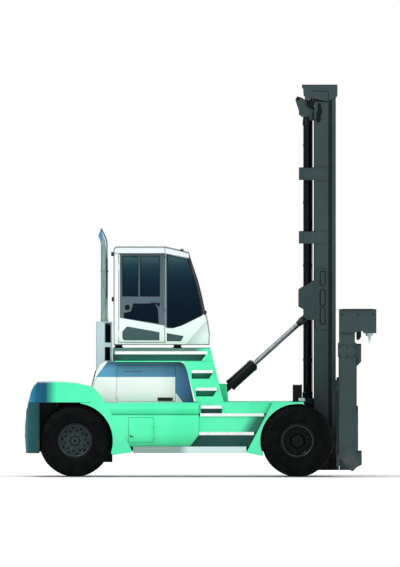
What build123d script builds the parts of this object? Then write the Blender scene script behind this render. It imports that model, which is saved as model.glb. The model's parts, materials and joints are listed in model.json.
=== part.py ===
"""Empty container handler: a lift truck with a two-stage mast and a telescopic side-lift spreader.

Millimetres. +X is forwards, +Y is the machine's left, +Z is up, the ground is Z 0.
Every piece is written to parts/NAME.step, left and right ones from one function with side +1 or -1.
"""
import math
import os

from build123d import *

# Fits
SEAT = 0.3  # between faces that rest on one another
RUN = 0.05  # radial, a shaft in its bore
SLIDE = 0.5  # between a wear pad or roller and its track
CLEAR = 6.0  # between moving pieces

# Wheels and axles
WHEELBASE = 4250.0
REAR_X = -2400.0
FRONT_X = REAR_X + WHEELBASE
TYRE_R = 685.0
TYRE_W = 375.0
SEAT_R = 305.0  # rim's bead seat
FLANGE_R = 338.0
FLANGE_T = 12.0
DUAL_OUTER_Y = 1337.0
DUAL_INNER_Y = 907.0
STEER_WHEEL_Y = 1150.0
KINGPIN_Y = 950.0
KINGPIN_R = 45.0
SPINDLE_R = 60.0
DRIVE_SPINDLE_R = 90.0
AXLE_TUBE_R = 150.0

# Frame and bodywork
FRAME_Y = 360.0
FRAME_T = 25.0
FRAME_LOW = 480.0
FRAME_REAR_X = -2740.0
SIDE_Y = 1400.0  # outer face of the tanks
FENDER_T = 12.0
ARCH_R = 722.0
FENDER_LEVEL = 1417.0  # underside of the counterweight and top of the tanks
TANK_REAR_X = -1590.0
TANK_IN_Y = 700.0
TANK_LOW = 577.0
HATCH = (-1379.0, -905.0, 663.0, 1133.0)
HATCH_DEPTH = 380.0
SKIN = 12.0
DECK_TOP = 1427.0
DECK_T = 17.0
PANEL_Y = 1360.0
TOWER_Y = 1330.0
PLATFORM_Y = 1130.0
PLATFORM_TOP = 2449.0
PLATFORM_LOW = 2193.0
HOOD_Y = 850.0
SHEET = 8.0
HOOD_DOOR = (-1600.0, -486.0, 1440.0, 2120.0)

# Drawbar pin bore in the counterweight
TOW_X = -3288.0
TOW_R = 26.0
TOW_LOW = 600.0
TOW_TOP = 780.0

# Cab
CAB_Y = 740.0
CAB_LOW = 2515.0
CAB_REAR_X = -1656.0
CAB_WALL = 30.0
CAB_FLOOR_T = 60.0
DOOR_REAR_X = -1570.0
DOOR_FRONT_X = -682.0
DOOR_LOW = 2562.0
DOOR_TOP = 4268.0
GLASS = 6.0

# Mast
PIVOT_X = 2120.0
PIVOT_Z = 520.0
PIN_R = 40.0
MAST_LOW = 120.0
OUTER_TOP = 7150.0
OUTER_REAR_X = 2173.0
OUTER_DEPTH = 264.0
OUTER_Y = 680.0
OUTER_WEB = 25.0
OUTER_FLANGE = 35.0
OUTER_FLANGE_W = 120.0
INNER_REAR_X = 2225.0
INNER_FRONT_X = 2580.0
INNER_WEB_Y = 525.0
INNER_WEB = 25.0
INNER_FLANGE_W = 85.0
INNER_REAR_T = 30.0
INNER_FRONT_T = 76.0
INNER_TOP = 7415.0
CAP_TOP = 7476.0
LIFT_X = 2042.0
LIFT_Y = 430.0
LIFT_R = 84.0
LIFT_ROD_R = 55.0
LIFT_FOOT_Z = 1490.0
LIFT_TOP_Z = 6861.0

# Tilt cylinders
TILT_X = 445.0
TILT_Z = 1627.0
EYE_X = 2046.0
EYE_Z = 3075.0
TILT_Y = 638.0
TILT_EYE_W = 80.0
TILT_BARREL_R = 107.0
TILT_ROD_R = 46.0
TILT_BARREL_L = 700.0
TILT_PIN_R = 35.0
ROD_EYE_R = 38.2  # the rod's eye is open by the few millimetres that it drifts from its pin

# Carriage and spreader
CARRIAGE_Y = 420.0
CARRIAGE_T = 35.0
CARRIAGE_TOP = 1837.0
CARRIAGE_FACE_X = 2590.0
CARRIAGE_FACE_T = 50.0
TUBE_REAR_X = 2660.0
TUBE_FRONT_X = 2950.0
TUBE_HALF = 2780.0
TUBE_WALL = 12.0
BEAM_INNER_END = 1100.0  # how far a beam reaches past the middle when it is in
UPPER_TUBE = (2020.0, 2290.0)
LOWER_TUBE = (1750.0, 2010.0)
LOCK_X = 3220.0
LOCK_Y = 2926.5
LOCK_R = 28.0
ARM_HALF = 100.0
HEAD_HALF = 150.0
FRONT_X_END = 3356.0
REAR_X_END = -3356.0


def block(x0, x1, y0, y1, z0, z1):
    """Return a box between two corners."""
    middle = Pos((x0 + x1) / 2, (y0 + y1) / 2, (z0 + z1) / 2)
    return middle * Box(abs(x1 - x0), abs(y1 - y0), abs(z1 - z0))


def side_plate(points, y0, y1):
    """Return a plate whose outline is drawn in X and Z, between two values of Y."""
    face = make_face(Polyline(*[(x, 0, z) for x, z in points], close=True))
    low, high = min(y0, y1), max(y0, y1)
    return Pos(0, low, 0) * extrude(face, amount=high - low, dir=(0, 1, 0))


def front_plate(points, x0, x1):
    """Return a plate whose outline is drawn in Y and Z, between two values of X."""
    face = make_face(Polyline(*[(0, y, z) for y, z in points], close=True))
    return Pos(x0, 0, 0) * extrude(face, amount=x1 - x0, dir=(1, 0, 0))


def plan_plate(points, z0, z1):
    """Return a plate whose outline is drawn in X and Y, between two heights."""
    face = make_face(Polyline(*[(x, y, 0) for x, y in points], close=True))
    return Pos(0, 0, z0) * extrude(face, amount=z1 - z0, dir=(0, 0, 1))


def rod_y(x, z, radius, y0, y1):
    """Return a round bar along Y."""
    return Pos(x, (y0 + y1) / 2, z) * Rot(90, 0, 0) * Cylinder(radius, abs(y1 - y0))


def rod_z(x, y, radius, z0, z1):
    """Return an upright round bar."""
    return Pos(x, y, (z0 + z1) / 2) * Cylinder(radius, z1 - z0)


def rod_x(y, z, radius, x0, x1):
    """Return a round bar along X."""
    return Pos((x0 + x1) / 2, y, z) * Rot(0, 90, 0) * Cylinder(radius, x1 - x0)


def turned(points, x, z, side, y0):
    """Return a body turned about Y from (radius, distance outboard of y0) points."""
    face = make_face(Polyline(*[(r, d, 0) for r, d in points], close=True))
    solid = revolve(face, Axis.Y, 360)
    if side < 0:
        solid = mirror(solid, Plane.XZ)
    return Pos(x, side * y0, z) * solid


def solids_of(shapes):
    """Return every solid of a list of shapes."""
    found = []
    for shape in shapes:
        found.extend(shape.solids())
    return found


def save(name, *shapes):
    """Write one named piece."""
    export_step(Compound(solids_of(shapes)), "parts/" + name + ".step")


# Wheels


def tyre(x, y, side):
    """Return one tyre with a flat tread, round shoulders and beads on the rim."""
    bead = TYRE_W / 2 - FLANGE_T - 8
    half = TYRE_W / 2
    inner = SEAT_R + SEAT
    points = [
        (inner, -bead),
        (inner, bead),
        (FLANGE_R + 8, bead),
        (FLANGE_R + 40, half - 6),
        (TYRE_R - 200, half),
        (TYRE_R - 110, half - 4),
        (TYRE_R - 50, half - 14),
        (TYRE_R - 12, half - 32),
        (TYRE_R, half - 62),
        (TYRE_R, -half + 62),
        (TYRE_R - 12, -half + 32),
        (TYRE_R - 50, -half + 14),
        (TYRE_R - 110, -half + 4),
        (TYRE_R - 200, -half),
        (FLANGE_R + 40, -half + 6),
        (FLANGE_R + 8, -bead),
    ]
    return turned(points, x, TYRE_R, side, y)


def rim(x, y, side, disc_at, hub_r):
    """Return a rim: a barrel with two flanges and a disc disc_at outboard of its middle."""
    bead = TYRE_W / 2 - FLANGE_T - 8 + SEAT
    inner = SEAT_R - 14
    points = [
        (hub_r, disc_at),
        (hub_r, disc_at + 18),
        (inner, disc_at + 18),
        (inner, bead),
        (inner, bead + FLANGE_T),
        (FLANGE_R, bead + FLANGE_T),
        (FLANGE_R, bead),
        (SEAT_R, bead),
        (SEAT_R, -bead),
        (FLANGE_R, -bead),
        (FLANGE_R, -bead - FLANGE_T),
        (inner, -bead - FLANGE_T),
        (inner, disc_at),
    ]
    return turned(points, x, TYRE_R, side, y)


def drive_tyres(side):
    """Return the pair of tyres on one end of the drive axle."""
    return [tyre(FRONT_X, DUAL_INNER_Y, side), tyre(FRONT_X, DUAL_OUTER_Y, side)]


def drive_rims(side):
    """Return the two rims of a pair and the planetary hub that carries them."""
    hub_r = 215.0
    start = 722.0
    bore = DRIVE_SPINDLE_R + RUN
    inner_disc = 60.0
    outer_disc = -60.0
    seat = DUAL_OUTER_Y + outer_disc + 18 - start
    hub = [
        (bore, 0),
        (bore, 400),
        (0, 400),
        (0, seat + 120),
        (110, seat + 120),
        (135, seat + 95),
        (135, seat + 22),
        (hub_r, seat + 22),
        (hub_r, 0),
    ]
    rims = [
        rim(FRONT_X, DUAL_INNER_Y, side, inner_disc, hub_r - 5),
        rim(FRONT_X, DUAL_OUTER_Y, side, outer_disc, hub_r - 5),
    ]
    whole = turned(hub, FRONT_X, TYRE_R, side, start)
    for one in rims:
        whole = whole + one
    return [whole]


def steer_rim(side):
    """Return the rim and hub of one steered wheel."""
    hub_r = 150.0
    start = KINGPIN_Y + 92.0
    bore = SPINDLE_R + RUN
    disc_at = 20.0
    seat = STEER_WHEEL_Y + disc_at + 18 - start
    hub = [
        (bore, 0),
        (bore, 160),
        (0, 160),
        (0, seat + 52),
        (62, seat + 52),
        (78, seat + 36),
        (78, seat + 14),
        (hub_r, seat + 14),
        (hub_r, 20),
        (120, 0),
    ]
    whole = turned(hub, REAR_X, TYRE_R, side, start)
    return [whole + rim(REAR_X, STEER_WHEEL_Y, side, disc_at, hub_r - 5)]


def knuckle(side):
    """Return a steering knuckle: barrel, kingpin, spindle and steering arm."""
    y = side * KINGPIN_Y
    barrel = rod_z(REAR_X, y, 80, TYRE_R - 130, TYRE_R + 130)
    pin = rod_z(REAR_X, y, KINGPIN_R, TYRE_R - 192, TYRE_R + 192)
    spindle = rod_y(REAR_X, TYRE_R, SPINDLE_R, y, side * (KINGPIN_Y + 92 + 158))
    arm = block(REAR_X - 230, REAR_X, y - 30, y + 30, TYRE_R + 60, TYRE_R + 95)
    return [barrel + pin + spindle + arm]


def steer_axle():
    """Return the steer axle: beam, yoke ears with kingpin bores, centre pin and steering cylinder."""
    whole = block(REAR_X - 105, REAR_X + 105, -700, 700, TYRE_R - 110, TYRE_R + 110)
    for side in (1, -1):
        y = side * KINGPIN_Y
        for low in (TYRE_R + 133, TYRE_R - 188):
            ear = rod_z(REAR_X, y, 85, low, low + 55)
            arm = block(REAR_X - 60, REAR_X + 60, side * 780, y, low, low + 55)
            whole = whole + ear + arm
        riser = block(REAR_X - 60, REAR_X + 60, side * 690, side * 800, TYRE_R - 188, TYRE_R + 188)
        whole = whole + riser
        whole = whole - rod_z(REAR_X, y, KINGPIN_R + RUN, TYRE_R - 250, TYRE_R + 250)
    pin = rod_x(0, TYRE_R, 55, REAR_X - 200, REAR_X + 200)
    cylinder = rod_y(REAR_X - 255, TYRE_R - 40, 58, -430, 430)
    saddle = block(REAR_X - 255, REAR_X - 100, -420, -365, TYRE_R - 90, TYRE_R + 10)
    saddle = saddle + block(REAR_X - 255, REAR_X - 100, 365, 420, TYRE_R - 90, TYRE_R + 10)
    return [whole + pin + cylinder + saddle]


def drive_axle():
    """Return the drive axle: tubes, differential bowl, end flanges and spindles."""
    tube = rod_y(FRONT_X, TYRE_R, AXLE_TUBE_R, -700, 700)
    bowl = rod_y(FRONT_X, TYRE_R, 235, -150, 150)
    nose = rod_x(0, TYRE_R, 130, FRONT_X - 420, FRONT_X)
    whole = tube + bowl + nose
    for side in (1, -1):
        whole = whole + rod_y(FRONT_X, TYRE_R, 200, side * 680, side * 716)
        whole = whole + rod_y(FRONT_X, TYRE_R, DRIVE_SPINDLE_R, side * 700, side * 1115)
    return [whole]


# Frame and bodywork


def frame():
    """Return the welded frame: two side plates, crossmembers, outriggers, axle brackets and mast pins."""
    top = DECK_TOP - DECK_T - SEAT
    outline = [
        (FRAME_REAR_X, 850),
        (FRAME_REAR_X, top),
        (1690, top),
        (1690, 1150),
        (1990, 900),
        (2100, 700),
        (2190, 560),
        (2190, 470),
        (2130, 440),
        (1800, 430),
        (1500, FRAME_LOW),
        (-2150, FRAME_LOW),
        (-2150, 850),
    ]
    whole = side_plate(outline, FRAME_Y - FRAME_T, FRAME_Y)
    whole = whole + side_plate(outline, -FRAME_Y, FRAME_T - FRAME_Y)
    inner = FRAME_Y - FRAME_T
    for x, low, high in [
        (-2740, 860, 1390),
        (-1900, 480, 1300),
        (-1350, 560, 700),
        (-450, 560, 700),
        (250, 480, 1300),
        (1250, 480, 1390),
    ]:
        whole = whole + block(x, x + 25, -inner, inner, low, high)
    for x in (-1350, -450):
        whole = whole + block(x, x + 120, -inner, inner, 560, 700)
    for x in (-1400, -300, 350, 950):
        for side in (1, -1):
            whole = whole + block(x, x + 30, side * FRAME_Y, side * (TANK_IN_Y - SEAT), 640, 1300)
    whole = whole + block(-1866, -1686, -inner - 5, inner + 5, 271, 500)
    for x in (REAR_X - 190, REAR_X + 150):
        web = block(x, x + 40, -inner, inner, 620, 900)
        whole = whole + (web - rod_x(0, TYRE_R, 55 + SEAT, x - 10, x + 50))
    for side in (1, -1):
        pad = rod_y(PIVOT_X, PIVOT_Z, 70, side * 290, side * FRAME_Y)
        pin = rod_y(PIVOT_X, PIVOT_Z, PIN_R, side * 290, side * (FRAME_Y + 60))
        whole = whole + pad + pin
        tube = rod_y(FRONT_X, TYRE_R, AXLE_TUBE_R + SEAT, side * (inner - 5), side * (FRAME_Y + 5))
        whole = whole - tube
    return [whole]


def counterweight():
    """Return the cast counterweight with its wheel wells, frame block, drawbar slot and pin channel."""
    outline = [
        (-3337, 449),
        (REAR_X_END, 749),
        (REAR_X_END, 950),
        (-3337, 1150),
        (-3299, 1379),
        (-3241, 1608),
        (-3184, 1723),
        (-3109, 1797),
        (-2720, 1801),
        (-2405, 1784),
        (-2088, 1711),
        (-2088, FENDER_LEVEL),
        (-3079, FENDER_LEVEL),
        (-3079, 449),
    ]
    corner = 270.0
    half = SIDE_Y
    plan = plan_plate(
        [
            (REAR_X_END - 5, -half + corner),
            (REAR_X_END - 5, half - corner),
            (REAR_X_END + corner, half),
            (-2080, half),
            (-2080, -half),
            (REAR_X_END + corner, -half),
        ],
        0,
        2000,
    )
    for side in (1, -1):
        y = side * (half - corner)
        plan = plan + rod_z(REAR_X_END - 5 + corner, y, corner, 0, 2000)
    whole = side_plate(outline, -half, half) & plan
    for side in (1, -1):
        well = rod_z(REAR_X, side * KINGPIN_Y, 800, 400, FENDER_LEVEL)
        whole = whole - well
    whole = whole + block(-3250, FRAME_REAR_X - SEAT, -330, 330, 470, FENDER_LEVEL + 5)
    slot = block(REAR_X_END - 10, -3230, -130, 130, 640, 720)
    whole = whole - slot - rod_z(TOW_X, 0, TOW_R, TOW_LOW - 10, TOW_TOP + 10)
    below = block(REAR_X_END - 10, -3180, -130, 130, 400, TOW_LOW)
    above = block(REAR_X_END - 10, -3225, -130, 130, TOW_TOP, 1750)
    return [whole - below - above]


def rear_fender(side):
    """Return the wing between the rear arch and the tank: an outer plate and a sloping top."""
    outline = [
        (-2296, FENDER_LEVEL - SEAT),
        (-2088 + SEAT, FENDER_LEVEL - SEAT),
        (-2088 + SEAT, 1711),
        (-2042, 1700),
        (-1870, 1494),
        (-1295, 470),
        (-1685, 416),
        (-1709, 455),
        (REAR_X, TYRE_R),
    ]
    y0 = side * (SIDE_Y + SEAT)
    y1 = side * (SIDE_Y + FENDER_T)
    plate = side_plate(outline, y0, y1)
    plate = plate - rod_y(REAR_X, TYRE_R, ARCH_R, side * 1300, side * 1500)
    lower = [(-2088 + SEAT, FENDER_LEVEL - SEAT), (-2088 + SEAT, 1711), (-2042, 1700), (-1870, 1494)]
    lower = lower + [(-1848, FENDER_LEVEL + 2), (-1848, FENDER_LEVEL - SEAT)]
    hollow = [(-2076, 1390), (-2076, 1694), (-2050, 1688), (-1884, 1490), (-1860, 1430), (-1860, 1390)]
    box = side_plate(lower, side * (HOOD_Y + 12), y1)
    box = box - side_plate(hollow, side * (HOOD_Y + 24), side * SIDE_Y)
    return plate + box


def side_tank(side, hatch):
    """Return one side tank with its slanted front foot and, where it has one, the hatch pocket."""
    outline = [
        (TANK_REAR_X, TANK_LOW),
        (-208, TANK_LOW),
        (-40, 797),
        (-40, FENDER_LEVEL),
        (TANK_REAR_X, FENDER_LEVEL),
    ]
    whole = side_plate(outline, side * TANK_IN_Y, side * SIDE_Y)
    ear = [(-1847, FENDER_LEVEL), (-1847, 1207), (-1585, 740), (-1585, FENDER_LEVEL)]
    whole = whole + side_plate(ear, side * (SIDE_Y - 15), side * SIDE_Y)
    crease = side_plate(
        [(-1900, 1188), (0, 1188), (0, 1180), (-1900, 1180)], side * (SIDE_Y - 8), side * (SIDE_Y + 5)
    )
    whole = whole - crease
    if hatch:
        x0, x1, z0, z1 = HATCH
        pocket = block(x0 + 20, x1 - 20, side * (SIDE_Y - HATCH_DEPTH), side * (SIDE_Y + 5), z0 + 20, z1 - 20)
        rebate = block(x0 - 5, x1 + 5, side * (SIDE_Y - SKIN - SEAT), side * (SIDE_Y + 5), z0 - 5, z1 + 5)
        whole = whole - pocket - rebate
    return whole


def hinge_leaf(x, y, z, side, way):
    """Return the moving half of a hinge: a bored barrel and a leaf that lies on the panel at y."""
    centre = side * (y + 13)
    barrel = rod_z(x, centre, 12, z - 42, z + 42)
    leaf = block(x, x + way * 60, side * y, side * (y + 9), z - 42, z + 42)
    return (barrel + leaf) - rod_z(x, centre, 6 + RUN, z - 50, z + 50)


def hinge_pin(x, y, z, side, way):
    """Return the fixed half of a hinge: a pin between two tabs that lie on the wall at y."""
    centre = side * (y + 13)
    whole = rod_z(x, centre, 6, z - 66, z + 66)
    for low in (z - 66, z + 48):
        tab = block(x - way * 60, x, side * y, side * (y + 9), low, low + 18)
        eye = rod_z(x, centre, 12, low, low + 18)
        whole = whole + tab + eye
    return whole


HATCH_HINGES = (790.0, 1010.0)
HOOD_HINGES = (1560.0, 1960.0)
CAB_HINGES = (2724.0, 4000.0)


def tank_hatch(side):
    """Return the hatch door of a tank, hinged on its front edge."""
    x0, x1, z0, z1 = HATCH
    door = block(x0, x1, side * (SIDE_Y - SKIN), side * SIDE_Y, z0, z1)
    for z in HATCH_HINGES:
        door = door + hinge_leaf(x1 + 2.5, SIDE_Y, z, side, -1)
    latch = block(x0 + 20, x0 + 45, side * (SIDE_Y - 2), side * (SIDE_Y + 14), 780, 900)
    return [door + latch]


def side_tanks():
    """Return both side tanks with the hatch's hinge pins."""
    right = side_tank(-1, True)
    for z in HATCH_HINGES:
        right = right + hinge_pin(HATCH[1] + 2.5, SIDE_Y, z, -1, -1)
    return [side_tank(1, False), right]


TREADS = [
    # front x, rear x, top z
    (-92.0, 304.0, 1702.0),
    (-172.0, 229.0, 2038.0),
]
TREAD_T = 57.0
TOE = 110.0
TOE_SLANT = 69.0


def ladder_y(z):
    """Return how far out the leaning stair panel is at a height."""
    return TOWER_Y - (z - 1213.0) * (TOWER_Y - PLATFORM_Y) / (PLATFORM_TOP - 1213.0)


def step_block(side):
    """Return the side structure between tank and front fender, with the toe pocket of its top step."""
    low = TANK_LOW
    top = DECK_TOP - DECK_T - SEAT
    outline = [
        (side * TANK_IN_Y, low),
        (side * 1150, low),
        (side * 1150, 856 + SEAT),
        (side * PANEL_Y, 856 + SEAT),
        (side * PANEL_Y, 1156 - SEAT),
        (side * 1200, 1156 - SEAT),
        (side * 1200, 1213 + SEAT),
        (side * TOWER_Y, 1213 + SEAT),
        (side * TOWER_Y, top),
        (side * TANK_IN_Y, top),
    ]
    whole = front_plate(outline, -40 + SEAT, 1500)
    wedge = [(-207.4, low), (-39, low), (-39, 797.5)]
    whole = whole + side_plate(wedge, side * TANK_IN_Y, side * 1150)
    whole = whole - rod_y(FRONT_X, TYRE_R, ARCH_R + 2 + SEAT, side * 650, side * 1450)
    pocket = block(4 - SEAT, 405 + SEAT, side * 1200, side * 1400, 1200, 1360 + SEAT)
    return whole - pocket


def stair(side):
    """Return the leaning stair panel above the deck, with a toe pocket under each tread."""
    low = DECK_TOP + SEAT
    top = PLATFORM_LOW - SEAT
    outline = [(-98, low), (-267, 2046), (-330, top), (244, top), (353, 1761), (439, low)]
    whole = side_plate(outline, side * (HOOD_Y + 12), side * 1400)
    lean = front_plate(
        [
            (side * 500, low - 10),
            (side * ladder_y(low - 10), low - 10),
            (side * ladder_y(top + 10), top + 10),
            (side * 500, top + 10),
        ],
        -500,
        600,
    )
    whole = whole & lean
    for x0, x1, z in TREADS:
        y = ladder_y(z)
        low = z - TREAD_T - TOE
        toe = [(x0 - SEAT, z + SEAT), (x1 + SEAT, z + SEAT), (x1 + SEAT, z - TREAD_T)]
        toe = toe + [(x1 - TOE_SLANT, low), (x0 - SEAT, low)]
        whole = whole - side_plate(toe, side * (y - 180), side * (y + 100))
    return whole


def steps(side):
    """Return the bright treads and edge strips of one side."""
    parts = []
    for x0, x1, z in TREADS:
        y = ladder_y(z)
        parts.append(block(x0, x1, side * (y - 180 + SEAT), side * (y + 60), z - TREAD_T, z))
    parts.append(block(4, 405, side * (1200 + SEAT), side * 1400, 1360 - TREAD_T, 1360))
    parts.append(block(-11, 1210, side * (1200 + SEAT), side * 1400, 1156, 1213))
    parts.append(block(-32, 1018, side * (1150 + SEAT), side * 1405, 797, 856))
    parts.append(block(-1290, 873, side * 1300, side * 1408, 453, TANK_LOW - SEAT))
    parts.append(block(-1630, 130, side * (PLATFORM_Y - 18), side * PLATFORM_Y, 2338, 2397))
    return parts


def front_fender(side):
    """Return one front fender: an arch sheet over both tyres and an outer wedge."""
    outline = [
        (869, 460),
        (1371, 1406),
        (1371, DECK_TOP),
        (1966, DECK_TOP),
        (1966, 1300),
        (FRONT_X, TYRE_R),
        (1175, 401),
    ]
    wedge = side_plate(outline, side * (SIDE_Y + 12), side * 1525)
    sheet = rod_y(FRONT_X, TYRE_R, ARCH_R + 2, side * TANK_IN_Y, side * (SIDE_Y + 14))
    sheet = sheet & block(900, 1966, side * 650, side * 1500, 577, DECK_TOP)
    whole = wedge + sheet
    whole = whole - rod_y(FRONT_X, TYRE_R, ARCH_R - 10, side * 600, side * 1600)
    return whole


def deck():
    """Return the front deck with the clevis plates of the tilt cylinders."""
    low = DECK_TOP - DECK_T
    whole = block(-40 + SEAT, 1690, -TOWER_Y, TOWER_Y, low, DECK_TOP)
    anchor = [(340, DECK_TOP - 2), (353, 1761), (493, 1761), (530, DECK_TOP - 2)]
    for side in (1, -1):
        strip = block(1371, 1966, side * 690, side * (SIDE_Y + 12 - SEAT), low, DECK_TOP)
        whole = whole + strip
        for y in (TILT_Y - TILT_EYE_W / 2 - 28, TILT_Y + TILT_EYE_W / 2 + 3):
            whole = whole + side_plate(anchor, side * y, side * (y + 25))
        pin = rod_y(TILT_X, TILT_Z, TILT_PIN_R, side * (TILT_Y - 68), side * (TILT_Y + 68))
        whole = whole + pin
    return [whole]


def platform():
    """Return the operator's platform: a top slab over a recessed sub-frame with a lower lip and front ends."""
    top = [(-1680, 2338), (-1680, PLATFORM_TOP), (185, PLATFORM_TOP), (212, 2338)]
    low = [(-1680, PLATFORM_LOW), (-1680, 2345), (210, 2345), (246, PLATFORM_LOW)]
    slab = side_plate(top, -PLATFORM_Y + 18 + SEAT, PLATFORM_Y - 18 - SEAT)
    lip = side_plate([(-1680, 2397 + SEAT), (-1680, PLATFORM_TOP), (185, PLATFORM_TOP), (198, 2397 + SEAT)],
                     -PLATFORM_Y, PLATFORM_Y)
    whole = slab + lip + side_plate(low, -1010, 1010)
    end = [(108, 2338), (12, 2212), (12, PLATFORM_LOW), (246, PLATFORM_LOW), (212, 2338)]
    for side in (1, -1):
        whole = whole + side_plate(end, side * 1005, side * PLATFORM_Y)
        whole = whole + block(-1680, 20, side * 1005, side * PLATFORM_Y, PLATFORM_LOW, 2212)
    return [whole]


HOOD_OUTLINE = [
    (-2072, FENDER_LEVEL + SEAT),
    (-2072, 1725),
    (-1998, 2006),
    (-1915, 2140),
    (-1830, PLATFORM_LOW - SEAT),
    (-420, PLATFORM_LOW - SEAT),
    (-330, 2150),
    (-267, 2046),
    (-128, FENDER_LEVEL + SEAT),
]


def hood():
    """Return the hood: a folded sheet shell with a door opening in each side and its hinge pins."""
    outer = side_plate(HOOD_OUTLINE, -HOOD_Y, HOOD_Y)
    inside = make_face(Polyline(*[(x, 0, z) for x, z in HOOD_OUTLINE], close=True))
    inside = offset(inside, amount=-SHEET)
    core = Pos(0, -HOOD_Y + SHEET, 0) * extrude(inside, amount=2 * (HOOD_Y - SHEET), dir=(0, 1, 0))
    core = core + block(-2064, -135, -HOOD_Y + SHEET, HOOD_Y - SHEET, FENDER_LEVEL - 5, FENDER_LEVEL + 30)
    whole = outer - core
    x0, x1, z0, z1 = HOOD_DOOR
    for side in (1, -1):
        whole = whole - block(x0 - 5, x1 + 5, side * (HOOD_Y - 20), side * (HOOD_Y + 5), z0 - 5, z1 + 5)
        for z in HOOD_HINGES:
            whole = whole + hinge_pin(x0 - 2.5, HOOD_Y, z, side, 1)
    return [whole]


def hood_door(side):
    """Return one engine door, hinged on its rear edge, with its long handle."""
    x0, x1, z0, z1 = HOOD_DOOR
    door = block(x0, x1, side * (HOOD_Y - SHEET), side * HOOD_Y, z0, z1)
    for z in HOOD_HINGES:
        door = door + hinge_leaf(x0 - 2.5, HOOD_Y, z, side, 1)
    handle = block(-823, -535, side * (HOOD_Y - 2), side * (HOOD_Y + 22), 1448, 1510)
    return [door + handle]


def engine():
    """Return the engine as one plain mass on its crossmembers."""
    return [block(-1600, -330, -320, 320, 700 + SEAT, 1780)]


def exhaust_shield():
    """Return the bright shield box of the silencer, open where the silencer shows."""
    y = -430.0
    outer = block(-1996, -1688, y - 150, y + 150, 1980, 2960)
    inner = block(-1988, -1696, y - 142, y + 142, 1900, 2952)
    whole = outer - inner - rod_z(-1841, y, 72, 2900, 3000)
    whole = whole - block(-1828, -1718, y - 200, y - 100, 2560, 2930)
    whole = whole - block(-1828, -1728, y - 200, y - 100, 2215, 2470)
    return [whole - side_plate(HOOD_OUTLINE, -HOOD_Y, HOOD_Y)]


def exhaust():
    """Return the silencer and the tall pipe with its swept-back, slant-cut end."""
    y = -430.0
    silencer = rod_z(-1841, y, 125, 2230, 2880)
    foot = rod_z(-1841, y, 60, 2090, 2240) - side_plate(HOOD_OUTLINE, -HOOD_Y, HOOD_Y)
    pipe = bent_pipe(y, 67) - bent_pipe(y, 61)
    slant = [(-1898, 4760), (-1962, 4580), (-2300, 4580), (-2300, 4760)]
    pipe = pipe - side_plate(slant, y - 200, y + 200)
    return [silencer + foot + pipe]


def bent_pipe(y, radius):
    """Return a round bar that follows the tailpipe: straight up, then bent rearwards."""
    riser = Line((-1841, 2870), (-1841, 4400))
    bend = JernArc(start=riser @ 1, tangent=riser % 1, radius=420, arc_size=28)
    tip = Line(bend @ 1, bend @ 1 + 130 * (bend % 1))
    place = Plane(origin=(0, y, 0), x_dir=(1, 0, 0), z_dir=(0, -1, 0))
    start = Plane(origin=(-1841, y, 2870), z_dir=(0, 0, 1))
    return sweep(start * Circle(radius), path=place * (riser + bend + tip))


def valve_boxes():
    """Return the two upright valve boxes on the front of the deck."""
    return [
        block(1757, 1935, side * 740, side * 1010, DECK_TOP + SEAT, 1723) for side in (1, -1)
    ]


# Cab


FRONT_LINE = [(-229, 4178), (-151, 3942), (-71, 3705), (8, 3388), (63, 3104)]
NOSE_LINE = [(103, 3071), (134, 2945), (166, 2708), (159, CAB_LOW)]
SIDE_WINDOW = [
    (-640, 2845),
    (-531, 2840),
    (-372, 2886),
    (-214, 2962),
    (26, 3082),
    (-22, 3385),
    (-101, 3698),
    (-181, 3935),
    (-262, 4160),
    (-640, 4238),
]
FOOT_WINDOW = [(-640, 2731), (-335, 2678), (-382, 2592), (-640, 2592)]
DOOR_WINDOWS = [
    [(-1497, 3444), (-1196, 3444), (-1196, 4211), (-1497, 4211)],
    [(-1156, 3444), (-783, 3444), (-783, 4211), (-1156, 4211)],
    [(-1284, 3300), (-900, 3300), (-835, 3230), (-816, 3152), (-806, 2926), (-1465, 3028), (-1465, 3119), (-1330, 3150)],
    [(-1410, 2868), (-787, 2758), (-787, 2600), (-1465, 2600), (-1497, 2640), (-1497, 2771)],
]


def pane(points, y0, y1):
    """Return a pane that fills a side opening with a thin gap all round."""
    face = make_face(Polyline(*[(x, 0, z) for x, z in points], close=True))
    face = offset(face, amount=-SEAT)
    low, high = min(y0, y1), max(y0, y1)
    return Pos(0, low, 0) * extrude(face, amount=high - low, dir=(0, 1, 0))


def cab_sides():
    """Return the cab's two side walls with their door and window openings, and the nose panel."""
    roof_gap = SEAT
    outline = [(CAB_REAR_X, CAB_LOW), (CAB_REAR_X, 4265 - roof_gap), (-682, 4265 - roof_gap)]
    outline = outline + [(-229, 4178 - roof_gap)] + FRONT_LINE[1:] + NOSE_LINE
    opening = block(DOOR_REAR_X - 5, DOOR_FRONT_X + 5, -800, 800, DOOR_LOW - 5, DOOR_TOP - 8)
    walls = []
    for side in (1, -1):
        wall = side_plate(outline, side * (CAB_Y - CAB_WALL), side * CAB_Y) - opening
        wall = wall - side_plate(SIDE_WINDOW, side * 600, side * 800)
        wall = wall - side_plate(FOOT_WINDOW, side * 600, side * 800)
        for z in CAB_HINGES:
            wall = wall + hinge_pin(DOOR_REAR_X - 2.5, CAB_Y, z, side, 1)
        walls.append(wall)
    inner = [(x - CAB_WALL, z) for x, z in NOSE_LINE]
    nose = NOSE_LINE[:-1] + [(160, CAB_LOW + 4)] + [(130, CAB_LOW + 4)] + list(reversed(inner[:-1]))
    nose = nose + [(40, 3090), (66, 3100)]
    y = CAB_Y - CAB_WALL - SEAT
    panel = side_plate(nose, -y, y)
    return walls + [panel]


def cab_floor():
    """Return the cab floor."""
    y = CAB_Y - CAB_WALL - SEAT
    return [block(CAB_REAR_X + CAB_WALL + SEAT, 120, -y, y, CAB_LOW + 4, CAB_LOW + CAB_FLOOR_T)]


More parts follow.
